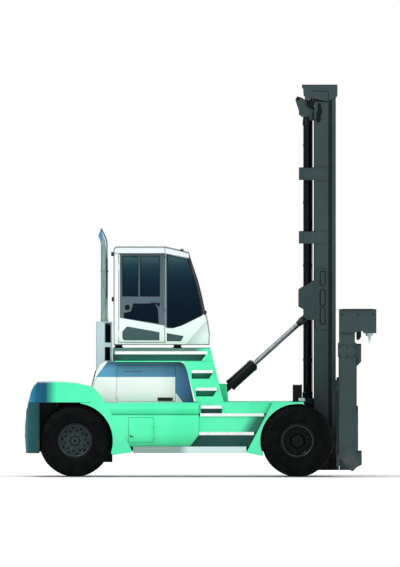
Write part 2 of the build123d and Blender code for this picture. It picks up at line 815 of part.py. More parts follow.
def cab_rear():
    """Return the cab's rear wall with its window opening."""
    y = CAB_Y - CAB_WALL - SEAT
    wall = block(CAB_REAR_X, CAB_REAR_X + CAB_WALL, -y, y, CAB_LOW + 4, 4265 - SEAT)
    return [wall - block(-1700, -1600, -560, 560, 3420, 4150)]


def cab_roof():
    """Return the roof slab with its sloping front."""
    outline = [
        (CAB_REAR_X, 4265),
        (CAB_REAR_X, 4335),
        (-1618, 4380),
        (-682, 4380),
        (-232, 4272),
        (-214, 4221),
        (-229, 4178),
        (-682, 4265),
    ]
    return [side_plate(outline, -CAB_Y, CAB_Y)]


def cab_glass():
    """Return the windscreen, the side windows, the small foot windows and the rear window."""
    y = CAB_Y - CAB_WALL - SEAT
    line = [(-229, 4176)] + FRONT_LINE[1:]
    back = [(x - GLASS, z - 1) for x, z in line]
    screen = side_plate(line[:-1] + [(66, 3104)] + [(66 - GLASS, 3104)] + list(reversed(back[:-1])), -y, y)
    parts = [screen]
    for side in (1, -1):
        for window in (SIDE_WINDOW, FOOT_WINDOW):
            parts.append(pane(window, side * (CAB_Y - 10), side * (CAB_Y - 10 + GLASS)))
    parts.append(block(CAB_REAR_X + 6, CAB_REAR_X + 12, -560 + SEAT, 560 - SEAT, 3420 + SEAT, 4150 - SEAT))
    return parts


def cab_door(side):
    """Return one cab door, hinged on its rear edge, with its window openings and grab handle."""
    outline = [
        (DOOR_REAR_X, DOOR_LOW),
        (DOOR_FRONT_X, DOOR_LOW),
        (DOOR_FRONT_X, DOOR_TOP - 13),
        (DOOR_REAR_X, DOOR_TOP - 13),
    ]
    door = side_plate(outline, side * (CAB_Y - 28), side * CAB_Y)
    for window in DOOR_WINDOWS:
        door = door - side_plate(window, side * 650, side * 800)
    for z in CAB_HINGES:
        door = door + hinge_leaf(DOOR_REAR_X - 2.5, CAB_Y, z, side, 1)
    handle = block(-781, -745, side * (CAB_Y - 3), side * (CAB_Y + 26), 3190, 3340)
    return [door + handle]


def door_glass(side):
    """Return the panes of one cab door."""
    return [pane(w, side * (CAB_Y - 10), side * (CAB_Y - 10 + GLASS)) for w in DOOR_WINDOWS]


def cab_mounts():
    """Return the four rubber feet between platform and cab."""
    return [
        rod_z(x, side * 620, 70, PLATFORM_TOP + SEAT, CAB_LOW + 4 - SEAT)
        for x in (-1568, -444)
        for side in (1, -1)
    ]


def seat_base():
    """Return the seat's pedestal and slides."""
    base = block(-1180, -780, -180, 180, CAB_LOW + CAB_FLOOR_T + SEAT, 2860)
    arm = block(-1150, -760, 250, 320, 3080, 3130) + block(-1150, -760, -320, -250, 3080, 3130)
    post = block(-1150, -1100, 230, 270, 2830, 3090) + block(-1150, -1100, -270, -230, 2830, 3090)
    bar = block(-1150, -1100, -270, 270, 2800, 2850)
    return [base + arm + post + bar]


def seat():
    """Return the driver's cushion and backrest."""
    low = 2860 + SEAT
    cushion = [(-1240, low), (-720, low), (-690, 2890), (-690, 2960), (-715, 2985), (-1240, 2985)]
    rest = [(-1200, low), (-1310, low), (-1330, 2890), (-1405, 3610), (-1385, 3650), (-1320, 3650)]
    rest = rest + [(-1300, 3620), (-1180, 2980)]
    return [side_plate(cushion, -225, 225) + side_plate(rest, -225, 225)]


def steering_column():
    """Return the steering column, its wheel and the pedal box."""
    foot = block(-360, -180, -110, 110, CAB_LOW + CAB_FLOOR_T + SEAT, 2680)
    column = Pos(-270, 0, 2660) * Rot(0, -28, 0) * Cylinder(
        38, 640, align=(Align.CENTER, Align.CENTER, Align.MIN)
    )
    place = Pos(-572, 0, 3228) * Rot(0, -28, 0)
    wheel = place * Torus(185, 15)
    spokes = place * (Box(370, 26, 14) + Box(26, 370, 14))
    return [foot + column + wheel + spokes]


# Mast


def outer_rails():
    """Return the two channels of the fixed mast stage."""
    front = OUTER_REAR_X + OUTER_DEPTH
    rails = []
    for side in (1, -1):
        y0 = side * (OUTER_Y - OUTER_FLANGE_W)
        y1 = side * OUTER_Y
        web = block(OUTER_REAR_X, front, side * (OUTER_Y - OUTER_WEB), y1, MAST_LOW, OUTER_TOP)
        rear = block(OUTER_REAR_X, OUTER_REAR_X + OUTER_FLANGE, y0, y1, MAST_LOW, OUTER_TOP)
        face = block(front - OUTER_FLANGE, front, y0, y1, MAST_LOW, OUTER_TOP)
        rails.append(web + rear + face)
    return rails


BACK_BEAMS = [(4448.0, 4680.0), (5663.0, 5896.0)]
TILT_CHEEK = [
    (1864, 3249),
    (1967, 3186),
    (1975, 3040),
    (2046, 2995),
    (2196, 2987),
    (2267, 2846),
    (2418, 2831),
    (2437, 2831),
    (2437, 3740),
    (2181, 3740),
    (2124, 3725),
    (1967, 3629),
    (1864, 3566),
]
EAR = [
    (1807, 7184),
    (1830, 7235),
    (1858, 7250),
    (1946, 7220),
    (2135, 7084),
    (2190, 7030),
    (2202, 6790),
    (2080, 6803),
    (2069, 6870),
    (1914, 6870),
]
LUG = [
    (2203, 200),
    (2203, 790),
    (2173, 790),
    (2068, 568),
    (2052, 505),
    (2085, 450),
    (2173, 330),
    (2173, 200),
]


def outer_ties():
    """Return the fixed stage's crossmembers, pivot lugs, cylinder feet, tilt brackets and head plates."""
    rear = OUTER_REAR_X
    half = OUTER_Y - OUTER_FLANGE_W
    whole = None
    for low, high in [(140, 420), (640, 800), (1390, LIFT_FOOT_Z)]:
        bar = block(rear, rear + 30, -half, half, low, high)
        whole = bar if whole is None else whole + bar
    for side in (1, -1):
        lug = side_plate(LUG, side * 363, side * 413) + rod_y(PIVOT_X, PIVOT_Z, 70, side * 363, side * 413)
        whole = whole + (lug - rod_y(PIVOT_X, PIVOT_Z, PIN_R + RUN, side * 300, side * 450))
        foot = block(1958, rear + 20, side * 346, side * 514, 1390, LIFT_FOOT_Z)
        rib = side_plate([(1958, 1390), (rear, 1390), (rear, 1250)], side * 420, side * 440)
        whole = whole + foot + rib
    web = block(rear, rear + 30, -60, 60, 140, LIFT_FOOT_Z)
    parts = [whole + web]
    front = rear + OUTER_DEPTH
    for low, high in BACK_BEAMS:
        beam = block(1874, 1944, -702, 702, low, high)
        for side in (1, -1):
            beam = beam + block(1874, front, side * OUTER_Y, side * 702, low, high)
        parts.append(beam)
    tilt = block(1864, 1934, -706, 706, 3249, 3566)
    head = block(1874, 1944, -555, 555, 6900, 7080)
    for side in (1, -1):
        tilt = tilt + side_plate(TILT_CHEEK, side * OUTER_Y, side * 706)
        inner = [(min(x, rear + 5), z) for x, z in TILT_CHEEK]
        inner = [inner[0], inner[1], inner[2], inner[3], (rear, 2987), (rear, 3740), inner[10], inner[11], inner[12]]
        tilt = tilt + side_plate(inner, side * 565, side * 592)
        tilt = tilt + rod_y(EYE_X, EYE_Z, TILT_PIN_R, side * 570, side * 712)
        head = head + side_plate(EAR, side * 530, side * 560)
        anchor = block(1930, 2150, side * 225, side * 275, 6880, 6930)
        head = head + anchor
    parts.append(tilt)
    parts.append(head)
    return parts


def lift_barrels():
    """Return the two lift cylinder barrels that stand on the fixed stage."""
    barrels = []
    for side in (1, -1):
        y = side * LIFT_Y
        barrel = rod_z(LIFT_X, y, LIFT_R, LIFT_FOOT_Z + SEAT, LIFT_TOP_Z)
        barrels.append(barrel - rod_z(LIFT_X, y, LIFT_ROD_R + RUN, 1560, LIFT_TOP_Z + 5))
    return barrels


def lift_rods():
    """Return the two lift cylinder rods that push the moving stage."""
    return [rod_z(LIFT_X, side * LIFT_Y, LIFT_ROD_R, 1600, INNER_TOP) for side in (1, -1)]


INNER_ROLLERS = (300.0, 950.0)


def inner_rails():
    """Return the two rails of the moving stage with the rollers that run in the fixed stage."""
    track = (OUTER_DEPTH - 2 * OUTER_FLANGE) / 2 - SLIDE
    centre = OUTER_REAR_X + OUTER_DEPTH / 2 - 4
    rails = []
    for side in (1, -1):
        out = INNER_WEB_Y + INNER_WEB
        web = block(INNER_REAR_X, INNER_FRONT_X, side * INNER_WEB_Y, side * out, MAST_LOW, INNER_TOP)
        inner_y = side * (INNER_WEB_Y - INNER_FLANGE_W)
        rear = block(INNER_REAR_X, INNER_REAR_X + INNER_REAR_T, inner_y, side * out, MAST_LOW, INNER_TOP)
        face = block(INNER_FRONT_X - INNER_FRONT_T, INNER_FRONT_X, inner_y, side * 640, MAST_LOW, INNER_TOP)
        rail = web + rear + face
        for z in INNER_ROLLERS:
            rail = rail + rod_y(centre + 4, z, track, side * (out - 5), side * (OUTER_Y - OUTER_WEB - 3))
        rails.append(rail)
    return rails


INNER_BARS = [(300.0, 480.0), (2500.0, 2700.0), (4700.0, 4900.0), (6700.0, 6880.0)]
SHEAVE_X = 2330.0
SHEAVE_Z = 7200.0
SHEAVE_R = 195.0
SHEAVE_Y = 250.0


def inner_crosshead():
    """Return the moving stage's cap, head cheeks, sheave hangers and rear crossmembers."""
    head = block(1933, 2613, -690, 690, INNER_TOP + SEAT, CAP_TOP)
    head = head + block(2590, 2613, -690, 690, 7268, CAP_TOP - 5)
    cheek = [(1950, CAP_TOP - 5), (1966, 7262), (2130, 7235), (2400, 7168), (2600, 7240), (2600, CAP_TOP - 5)]
    hanger = [(2240, CAP_TOP - 5), (2420, CAP_TOP - 5), (2385, 7140), (2275, 7140)]
    for side in (1, -1):
        head = head + side_plate(cheek, side * 665, side * 690)
        for y in (SHEAVE_Y - 45, SHEAVE_Y + 25):
            head = head + side_plate(hanger, side * y, side * (y + 20))
        head = head - rod_y(SHEAVE_X, SHEAVE_Z, 40 + SEAT, side * 180, side * 320)
    half = INNER_WEB_Y - INNER_FLANGE_W - SEAT
    x0 = INNER_REAR_X
    parts = [head]
    for low, high in INNER_BARS:
        parts.append(block(x0, x0 + INNER_REAR_T, -half, half, low, high))
    return parts


def mast_sheaves():
    """Return the two lift chain sheaves with their pins."""
    found = []
    for side in (1, -1):
        y = side * SHEAVE_Y
        wheel = rod_y(SHEAVE_X, SHEAVE_Z, SHEAVE_R, y - 22, y + 22)
        groove = rod_y(SHEAVE_X, SHEAVE_Z, SHEAVE_R + 5, y - 16, y + 16)
        groove = groove - rod_y(SHEAVE_X, SHEAVE_Z, SHEAVE_R - 16, y - 20, y + 20)
        pin = rod_y(SHEAVE_X, SHEAVE_Z, 40, y - 50, y + 50)
        found.append((wheel - groove) + pin)
    return found


# Tilt cylinders


def along_tilt(shape, side):
    """Return a shape drawn along +X moved onto the line of one tilt cylinder."""
    angle = math.degrees(math.atan2(EYE_Z - TILT_Z, EYE_X - TILT_X))
    return Pos(TILT_X, side * TILT_Y, TILT_Z) * Rot(0, -angle, 0) * shape


def tilt_barrel(side):
    """Return one tilt cylinder barrel with its base eye."""
    half = TILT_EYE_W / 2
    eye = rod_y(0, 0, 72, -half, half) + block(0, 160, -half, half, -58, 58)
    tube = rod_x(0, 0, TILT_BARREL_R, 150, 750) + rod_x(0, 0, 92, 740, 770)
    whole = eye + tube - rod_y(0, 0, TILT_PIN_R + RUN, -60, 60)
    whole = whole - rod_x(0, 0, TILT_ROD_R + RUN, 175, 780)
    return [along_tilt(whole, side)]


def tilt_rod(side):
    """Return one tilt cylinder rod with the eye that pins to the mast."""
    length = math.hypot(EYE_X - TILT_X, EYE_Z - TILT_Z)
    half = TILT_EYE_W / 2
    rod = rod_x(0, 0, TILT_ROD_R, 330, length - 120)
    eye = rod_y(length, 0, 72, -half, half) + block(length - 130, length, -half, half, -58, 58)
    eye = eye + rod_x(0, 0, 66, length - 210, length - 125)
    whole = (rod + eye) - rod_y(length, 0, ROD_EYE_R, -60, 60)
    return [along_tilt(whole, side)]


# Carriage and spreader


BARS = [(200.0, 420.0), (1640.0, CARRIAGE_TOP)]
BAR_HALF = 1250.0
COLUMN = (480.0, 620.0)


def carriage():
    """Return the carriage: side plates with rollers, face posts, cross bars and the chain anchor bar."""
    face0 = CARRIAGE_FACE_X
    face1 = face0 + CARRIAGE_FACE_T
    track = (INNER_FRONT_X - INNER_FRONT_T - INNER_REAR_X - INNER_REAR_T) / 2
    centre = INNER_REAR_X + INNER_REAR_T + track
    whole = block(2500, 2560, -CARRIAGE_Y + 5, CARRIAGE_Y - 5, 1560, 1630)
    for low, high in BARS:
        whole = whole + block(face0, face1, -BAR_HALF, BAR_HALF, low, high)
    for side in (1, -1):
        y0 = side * (CARRIAGE_Y - CARRIAGE_T)
        plate = block(2265, face0 + 5, y0, side * CARRIAGE_Y, MAST_LOW, CARRIAGE_TOP)
        post = block(face0, face1, y0, side * 600, MAST_LOW, CARRIAGE_TOP)
        whole = whole + plate + post
        for z in (300, 1650):
            roller = rod_y(centre, z, track - SLIDE, side * (CARRIAGE_Y - 2), side * (INNER_WEB_Y - 4))
            whole = whole + roller
    return [whole]


def tube(low, high, mouth):
    """Return one fixed spreader tube with wear pads in its mouth, on the side its beam comes out of."""
    x0, x1 = TUBE_REAR_X, TUBE_FRONT_X
    t = TUBE_WALL
    whole = block(x0, x1, -TUBE_HALF, TUBE_HALF, low, high)
    whole = whole - block(x0 + t, x1 - t, -TUBE_HALF - 5, TUBE_HALF + 5, low + t, high - t)
    g = t + CLEAR - SLIDE
    pads = block(x0 + t, x1 - t, mouth * (TUBE_HALF - 90), mouth * TUBE_HALF, low + t, high - t)
    pads = pads - block(x0 + g, x1 - g, mouth * (TUBE_HALF - 100), mouth * (TUBE_HALF + 10), low + g, high - g)
    return whole + pads


def spreader_frame():
    """Return the side-shifting spreader frame: two fixed tubes, columns, web and carriage hooks."""
    upper = tube(UPPER_TUBE[0], UPPER_TUBE[1], 1)
    lower = tube(LOWER_TUBE[0], LOWER_TUBE[1], -1)
    whole = upper + lower
    for y in (-2600, -1300, 0, 1300, 2600):
        whole = whole + block(2700, 2910, y - 90, y + 90, LOWER_TUBE[1] - 2, UPPER_TUBE[0] + 2)
    low, high = COLUMN
    for side in (1, -1):
        column = [(2648, 1755), (2900, 1755), (2900, 240), (2860, MAST_LOW), (2648, MAST_LOW)]
        whole = whole + side_plate(column, side * low, side * high)
        hook = block(2594, 2655, side * low, side * high, CARRIAGE_TOP + SEAT, CARRIAGE_TOP + 48)
        riser = block(2640 + SLIDE, 2665, side * low, side * high, BARS[1][0], CARRIAGE_TOP + 48)
        foot = block(2640 + SLIDE, 2655, side * low, side * high, BARS[0][0], BARS[0][1])
        whole = whole + hook + riser + foot
    whole = whole + block(2700, 2730, -low - 10, low + 10, 420, 1500)
    return [whole]


def spreader_arm(side):
    """Return one telescopic beam with its end arm: post, collar, neck, head box and bumper."""
    low, high = UPPER_TUBE if side > 0 else LOWER_TUBE
    g = TUBE_WALL + CLEAR
    x0, x1, z0, z1 = TUBE_REAR_X + g, TUBE_FRONT_X - g, low + g, high - g
    end = side * (LOCK_Y - ARM_HALF + 5)
    inner = -side * BEAM_INNER_END
    beam = block(x0, x1, inner, end, z0, z1)
    p = TUBE_WALL + SLIDE
    pads = block(TUBE_REAR_X + p, TUBE_FRONT_X - p, inner, inner + side * 90, low + p, high - p)
    beam = beam + pads - block(x0 + 12, x1 - 12, inner - side * 5, end - side * 10, z0 + 12, z1 - 12)
    y0 = LOCK_Y - ARM_HALF
    y1 = LOCK_Y + ARM_HALF
    post = [
        (2636, 401),
        (2632, 2305),
        (2976, 2305),
        (2976, 1314),
        (3001, 1314),
        (3001, 470),
        (3030, 462),
        (3077, 462),
        (3077, 250),
        (3060, 233),
        (2985, 200),
        (2909, MAST_LOW),
        (2880, MAST_LOW),
    ]
    arm = side_plate(post, side * y0, side * y1)
    arm = arm + block(2619, 2972, side * (y0 - 15), side * (y1 + 15), 2300, 2525)
    bumper = [(2940, 2506), (3067, 2506), (3067, 2214), (2968, 2112), (2940, 2112)]
    arm = arm + side_plate(bumper, side * (LOCK_Y - 60), side * (LOCK_Y + 60))
    arm = arm + block(2640, 2947, side * (y0 + 10), side * (y1 - 10), 2520, 2780)
    head = [(2640, 2773), (2640, 3165), (FRONT_X_END, 3165), (FRONT_X_END, 2757), (3110, 2757), (3085, 2800), (2960, 2773)]
    head = side_plate(head, side * (LOCK_Y - HEAD_HALF), side * (LOCK_Y + HEAD_HALF))
    head = head + rod_z(LOCK_X, side * LOCK_Y, 68, 2735, 2760)
    head = head - rod_z(LOCK_X, side * LOCK_Y, LOCK_R + RUN, 2700, 2905)
    return [beam + arm + head]


def twistlock(side):
    """Return one twistlock: shaft and the long head that turns inside a corner fitting."""
    y = side * LOCK_Y
    shaft = rod_z(LOCK_X, y, LOCK_R, 2660, 2900)
    head = block(LOCK_X - 30, LOCK_X + 30, y - 52, y + 52, 2640, 2700)
    tip = extrude(Pos(LOCK_X, y, 2640) * Rectangle(60, 104), amount=78, dir=(0, 0, -1), taper=14)
    return [shaft + head + tip]


def main():
    """Write every piece."""
    os.makedirs("parts", exist_ok=True)
    save("frame", *frame())
    save("drive_axle", *drive_axle())
    save("steer_axle", *steer_axle())
    save("counterweight", *counterweight())
    save("rear_fenders", rear_fender(1), rear_fender(-1))
    save("side_tanks", *side_tanks())
    save("tank_hatch", *tank_hatch(-1))
    save("step_blocks", step_block(1), step_block(-1), stair(1), stair(-1))
    save("steps", *steps(1), *steps(-1))
    save("front_fenders", front_fender(1), front_fender(-1))
    save("deck", *deck())
    save("platform", *platform())
    save("hood", *hood())
    save("engine", *engine())
    save("exhaust_shield", *exhaust_shield())
    save("exhaust", *exhaust())
    save("valve_boxes", *valve_boxes())
    save("cab_shell", *cab_sides(), *cab_floor(), *cab_rear())
    save("cab_roof", *cab_roof())
    save("cab_glass", *cab_glass())
    save("cab_mounts", *cab_mounts())
    save("seat", *seat())
    save("cab_fittings", *seat_base(), *steering_column())
    save("outer_rails", *outer_rails())
    save("outer_ties", *outer_ties())
    save("lift_barrels", *lift_barrels())
    save("lift_rods", *lift_rods())
    save("inner_rails", *inner_rails())
    save("inner_crosshead", *inner_crosshead())
    save("mast_sheaves", *mast_sheaves())
    save("carriage", *carriage())
    save("spreader_frame", *spreader_frame())
    for name, side in (("left", 1), ("right", -1)):
        save("hood_door_" + name, *hood_door(side))
        save("cab_door_" + name, *cab_door(side))
        save("door_glass_" + name, *door_glass(side))
        save("drive_tyres_" + name, *drive_tyres(side))
        save("drive_rims_" + name, *drive_rims(side))
        save("knuckle_" + name, *knuckle(side))
        save("steer_tyre_" + name, tyre(REAR_X, STEER_WHEEL_Y, side))
        save("steer_rim_" + name, *steer_rim(side))
        save("tilt_barrel_" + name, *tilt_barrel(side))
        save("tilt_rod_" + name, *tilt_rod(side))
        save("spreader_arm_" + name, *spreader_arm(side))
        save("twistlock_" + name, *twistlock(side))


if __name__ == "__main__":
    main()
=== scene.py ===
"""The looks of an empty container handler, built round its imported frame.

Metres, in the frame's own axes: +X forwards, +Y the machine's left, +Z up, the ground at Z 0.
Each sub-assembly is a class with its sizes as fields. Surfaces are worked out as whole numpy arrays.
"""

import json
import logging
import math
from dataclasses import dataclass, field
from enum import Enum

import bmesh
import bpy
import numpy as np
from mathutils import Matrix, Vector

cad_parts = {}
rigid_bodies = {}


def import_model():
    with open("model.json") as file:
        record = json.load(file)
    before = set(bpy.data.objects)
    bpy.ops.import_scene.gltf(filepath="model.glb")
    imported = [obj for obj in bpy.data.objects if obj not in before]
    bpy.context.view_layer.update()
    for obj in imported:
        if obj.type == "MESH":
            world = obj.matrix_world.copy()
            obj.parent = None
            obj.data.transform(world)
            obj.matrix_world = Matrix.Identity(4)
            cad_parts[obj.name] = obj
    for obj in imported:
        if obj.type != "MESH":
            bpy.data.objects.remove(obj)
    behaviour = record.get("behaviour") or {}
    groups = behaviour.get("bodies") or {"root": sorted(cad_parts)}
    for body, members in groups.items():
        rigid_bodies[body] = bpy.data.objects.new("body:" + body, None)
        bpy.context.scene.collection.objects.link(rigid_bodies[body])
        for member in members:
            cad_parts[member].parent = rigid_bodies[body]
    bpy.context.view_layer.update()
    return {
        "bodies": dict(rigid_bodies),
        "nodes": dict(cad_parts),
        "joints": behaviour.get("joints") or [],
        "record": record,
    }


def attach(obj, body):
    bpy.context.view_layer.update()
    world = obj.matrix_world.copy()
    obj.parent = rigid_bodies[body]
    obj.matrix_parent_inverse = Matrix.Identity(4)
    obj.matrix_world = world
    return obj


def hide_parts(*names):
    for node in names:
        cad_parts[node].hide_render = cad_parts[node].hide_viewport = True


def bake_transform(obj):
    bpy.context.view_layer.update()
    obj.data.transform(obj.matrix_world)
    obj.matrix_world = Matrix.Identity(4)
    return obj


LOG = logging.getLogger("container_handler")
Array = np.ndarray
Point = tuple[float, float, float]
Socket = bpy.types.NodeSocket
Value = Socket | float
Colour = Socket | str
SIDES = {"left": 1.0, "right": -1.0}
BAR_SCALE = 0.314  # the wave texture's scale that puts its bars a metre apart


class Body(str, Enum):
    """The bodies of the frame that have no side."""

    CHASSIS = "chassis"
    HATCH = "hatch"
    OUTER = "outer_stage"
    INNER = "inner_stage"
    CARRIAGE = "carriage"
    SPREADER = "spreader"


class Axis(Enum):
    """The axis that a turned or drawn shape is built round."""

    X = 0
    Y = 1
    Z = 2


# Node tools


def linear(code: str) -> tuple[float, float, float, float]:
    """Turn an sRGB hex colour into red, green and blue in linear light, with an alpha of one."""
    values = [int(code[i : i + 2], 16) / 255 for i in (1, 3, 5)]
    straight = [v / 12.92 if v <= 0.04045 else ((v + 0.055) / 1.055) ** 2.4 for v in values]
    return (straight[0], straight[1], straight[2], 1.0)


def feed(tree: bpy.types.NodeTree, socket: Socket, value: object) -> None:
    """Link an output to an input, or set the input to a value; a hex code is turned into light."""
    if isinstance(value, Socket):
        tree.links.new(value, socket)
    else:
        socket.default_value = linear(value) if isinstance(value, str) else value


def add_node(
    tree: bpy.types.NodeTree, kind: str, settings: dict | None = None, sockets: dict | None = None
) -> bpy.types.Node:
    """Add one node, set its properties, and fill or link its sockets.

    Args:
        tree: the node tree that gets the node.
        kind: the node's type without its leading "ShaderNode".
        settings: property names and their values.
        sockets: input names or numbers, each with a value, a hex code or the output to link.

    Returns:
        The new node.
    """
    made = tree.nodes.new("ShaderNode" + kind)
    for name, value in (settings or {}).items():
        setattr(made, name, value)
    for key, value in (sockets or {}).items():
        feed(tree, made.inputs[key], value)
    return made


@dataclass
class Brush:
    """The node tree of one finish, with the sums, masks and colours that finishes are painted with.

    Colours are hex codes or outputs, and places are in the frame's metres.
    """

    tree: bpy.types.NodeTree
    place: Socket
    shader: bpy.types.Node | None = None

    def __post_init__(self) -> None:
        """Split the place into its three axes."""
        self.x, self.y, self.z = add_node(self.tree, "SeparateXYZ", None, {0: self.place}).outputs

    def sum(self, operation: str, a: Value, b: Value = 0.0) -> Socket:
        """Do one sum on two values."""
        return add_node(self.tree, "Math", {"operation": operation}, {0: a, 1: b}).outputs[0]

    def times(self, a: Value, b: Value) -> Socket:
        """Multiply two values."""
        return self.sum("MULTIPLY", a, b)

    def plus(self, a: Value, b: Value) -> Socket:
        """Add two values."""
        return self.sum("ADD", a, b)

    def less(self, a: Value, b: Value) -> Socket:
        """Take the second value from the first."""
        return self.sum("SUBTRACT", a, b)

    def most(self, a: Value, b: Value) -> Socket:
        """Return the larger of two values."""
        return self.sum("MAXIMUM", a, b)

    def size(self, a: Value) -> Socket:
        """Return a value without its sign."""
        return self.sum("ABSOLUTE", a)

    def spread(self, value: Socket, low: float, high: float) -> Socket:
        """Map a value from between low and high to 0 to 1, clamped, whichever of the two is larger."""
        ends = {"Value": value, "From Min": low, "From Max": high}
        return add_node(self.tree, "MapRange", {"clamp": True}, ends).outputs["Result"]

    def mixed(self, factor: Value, a: Colour, b: Colour) -> Socket:
        """Mix two colours by a factor."""
        return add_node(self.tree, "Mix", {"data_type": "RGBA"}, {0: factor, 6: a, 7: b}).outputs[2]

    def ramp(self, value: Socket, stops: list[tuple[float, str]]) -> Socket:
        """Colour a value that runs from 0 to 1 by stops of position and hex code in rising order."""
        made = add_node(self.tree, "ValToRGB", None, {"Fac": value})
        elements = made.color_ramp.elements
        while len(elements) < len(stops):
            elements.new(0.5)
        for element, (position, code) in zip(elements, stops):
            element.position = position
            element.color = linear(code)
        return made.outputs["Color"]

    def noise(self, size: float, detail: float = 3.0, place: Socket | None = None) -> Socket:
        """Return noise whose blotches are about size metres across."""
        sockets = {"Vector": place or self.place, "Scale": 1.0 / size, "Detail": detail}
        return add_node(self.tree, "TexNoise", None, sockets).outputs["Fac"]

    def bars(self, way: str, scale: float) -> Socket:
        """Return soft bars across an axis."""
        settings = {"wave_type": "BANDS", "bands_direction": way}
        return add_node(self.tree, "TexWave", settings, {"Vector": self.place, "Scale": scale}).outputs["Fac"]

    def put(self, name: str, value: object) -> None:
        """Put a value, linked or fixed, on one of the shader's sockets."""
        feed(self.tree, self.shader.inputs[name], value)

    def colour(self, value: Colour) -> None:
        """Put a colour on the shader."""
        self.put("Base Color", value)

    def under(self) -> Socket:
        """Return the output that colours the shader so far."""
        return self.shader.inputs["Base Color"].links[0].from_socket

    def bump(self, height: Socket, depth: float, strength: float) -> None:
        """Rough the surface up by a height map whose full swing is depth metres."""
        sockets = {"Height": height, "Distance": depth, "Strength": strength}
        self.put("Normal", add_node(self.tree, "Bump", None, sockets).outputs[0])


# Finishes


@dataclass(frozen=True)
class Finish:
    """What every finish has: its name and the record's material slot."""

    name: str
    slot: str

    def material(self) -> bpy.types.Material:
        """Return this finish as a material, made on the first call."""
        found = bpy.data.materials.get(self.name)
        if found is not None:
            return found
        found = bpy.data.materials.new(self.name)
        found.use_nodes = True
        tree = found.node_tree
        tree.nodes.clear()
        shader = add_node(tree, "BsdfPrincipled")
        place = add_node(tree, "TexCoord").outputs["Object"]
        self.dress(Brush(tree, place, shader))
        add_node(tree, "OutputMaterial", None, {"Surface": shader.outputs[0]})
        return found

    def dress(self, on: Brush) -> None:
        """Set the shader up; each finish has its own way."""
        raise NotImplementedError


@dataclass(frozen=True)
class MachineEnamel(Finish):
    """Two-pack enamel sprayed on steel plate: an even colour under a clear gloss.

    It gives the eye a clean saturated skin, a faint orange peel, and road dust that fades upwards.
    """

    colour_hex: str = "#58E8B0"
    gloss: float = 0.34  # roughness
    specular: float = 0.35
    coat: float = 0.0
    dust: float = 0.25  # strength of the dust near the ground
    dust_hex: str = "#6E6A60"
    mottle: float = 0.05  # tone change over blotches a metre across

    def base(self, on: Brush) -> Colour:
        """Return the paint's colour before wear and dust; two-tone paints have their own."""
        return self.colour_hex

    def dress(self, on: Brush) -> None:
        """Paint, tone change, dust and orange peel."""
        blotch = on.noise(1.1, 2.0)
        paint = self.base(on)
        shade = on.spread(blotch, 0.35, 0.65)
        darker = add_node(
            on.tree, "HueSaturation", None,
            {"Value": 1.0 - 2 * self.mottle, "Saturation": 1.04, "Color": paint},
        ).outputs[0]
        toned = on.mixed(shade, darker, paint)
        film = on.noise(0.22, 5.0)
        low = on.spread(on.z, 1.1, 0.25)
        amount = on.times(low, on.spread(film, 0.42, 0.72))
        amount = on.times(amount, self.dust)
        on.colour(on.mixed(amount, toned, self.dust_hex))
        rough = on.plus(self.gloss, on.times(amount, 0.5))
        smear = on.times(on.spread(film, 0.3, 0.7), 0.06)
        on.put("Roughness", on.plus(rough, smear))
        on.put("Specular IOR Level", self.specular)
        on.put("Coat Weight", self.coat)
        on.put("Coat Roughness", 0.08)
        # orange peel is 2 mm across on real paint; drawn at 9 mm so that it shows
        on.bump(on.noise(0.009, 1.0), 0.0004, 0.1)


@dataclass(frozen=True)
class HoodEnamel(MachineEnamel):
    """The engine cover's enamel: white below, steel blue above and down the front edge.

    The blue is a painted reflection of a dark horizon on the cover's rounded shoulder and front; it darkens
    towards the front, as the photograph has it.
    """

    band_low: float = 1.902
    seam_x: float = -0.485

    def base(self, on: Brush) -> Colour:
        """White, with a painted blue reflection above the band's edge and in front of a line that slants at
        its foot.
        """
        x, z = on.x, on.z
        above = on.spread(z, self.band_low - 0.004, self.band_low + 0.004)
        # the foot of the front field slants from the seam at 1.607 m to 0.13 m ahead of it at 1.44 m
        drop = on.times(on.less(1.607, z), 0.78)
        edge = on.plus(self.seam_x, on.most(drop, 0.0))
        past = on.less(x, edge)
        ahead = on.spread(past, -0.003, 0.003)
        # the blue starts behind a line that leans forwards over the rear corner
        lean = on.plus(-1.985, on.times(on.less(z, 1.912), 0.72))
        corner = on.spread(on.less(x, lean), -0.004, 0.004)
        band = on.times(above, corner)
        reflection_area = on.most(band, ahead)
        # the painted reflection darkens towards the front
        along = on.spread(x, -2.0, -0.1)
        blue = on.ramp(
            along,
            [(0.0, "#5FA3C8"), (0.35, "#5890B2"), (0.78, "#4F82A8"), (0.93, "#3E6A98"), (1.0, "#1E3C62")],
        )
        # painted shadow darkens the blue under the platform's overhang
        under = on.spread(z, 2.06, 2.19)
        blue = on.mixed(on.times(under, 0.72), blue, "#16323F")
        white = on.ramp(on.spread(z, 1.42, 1.9), [(0.0, "#F2EEEC"), (0.45, "#FFF8FC"), (1.0, "#FCFBFC")])
        painted = on.mixed(reflection_area, white, blue)
        # the handle stands out of the panel and is left black
        out = on.size(on.y)
        grip = on.times(on.spread(out, 0.8502, 0.8506), on.spread(z, 1.53, 1.52))
        grip = on.times(grip, on.spread(x, -0.9, -0.89))
        return on.mixed(grip, painted, "#0D1112")


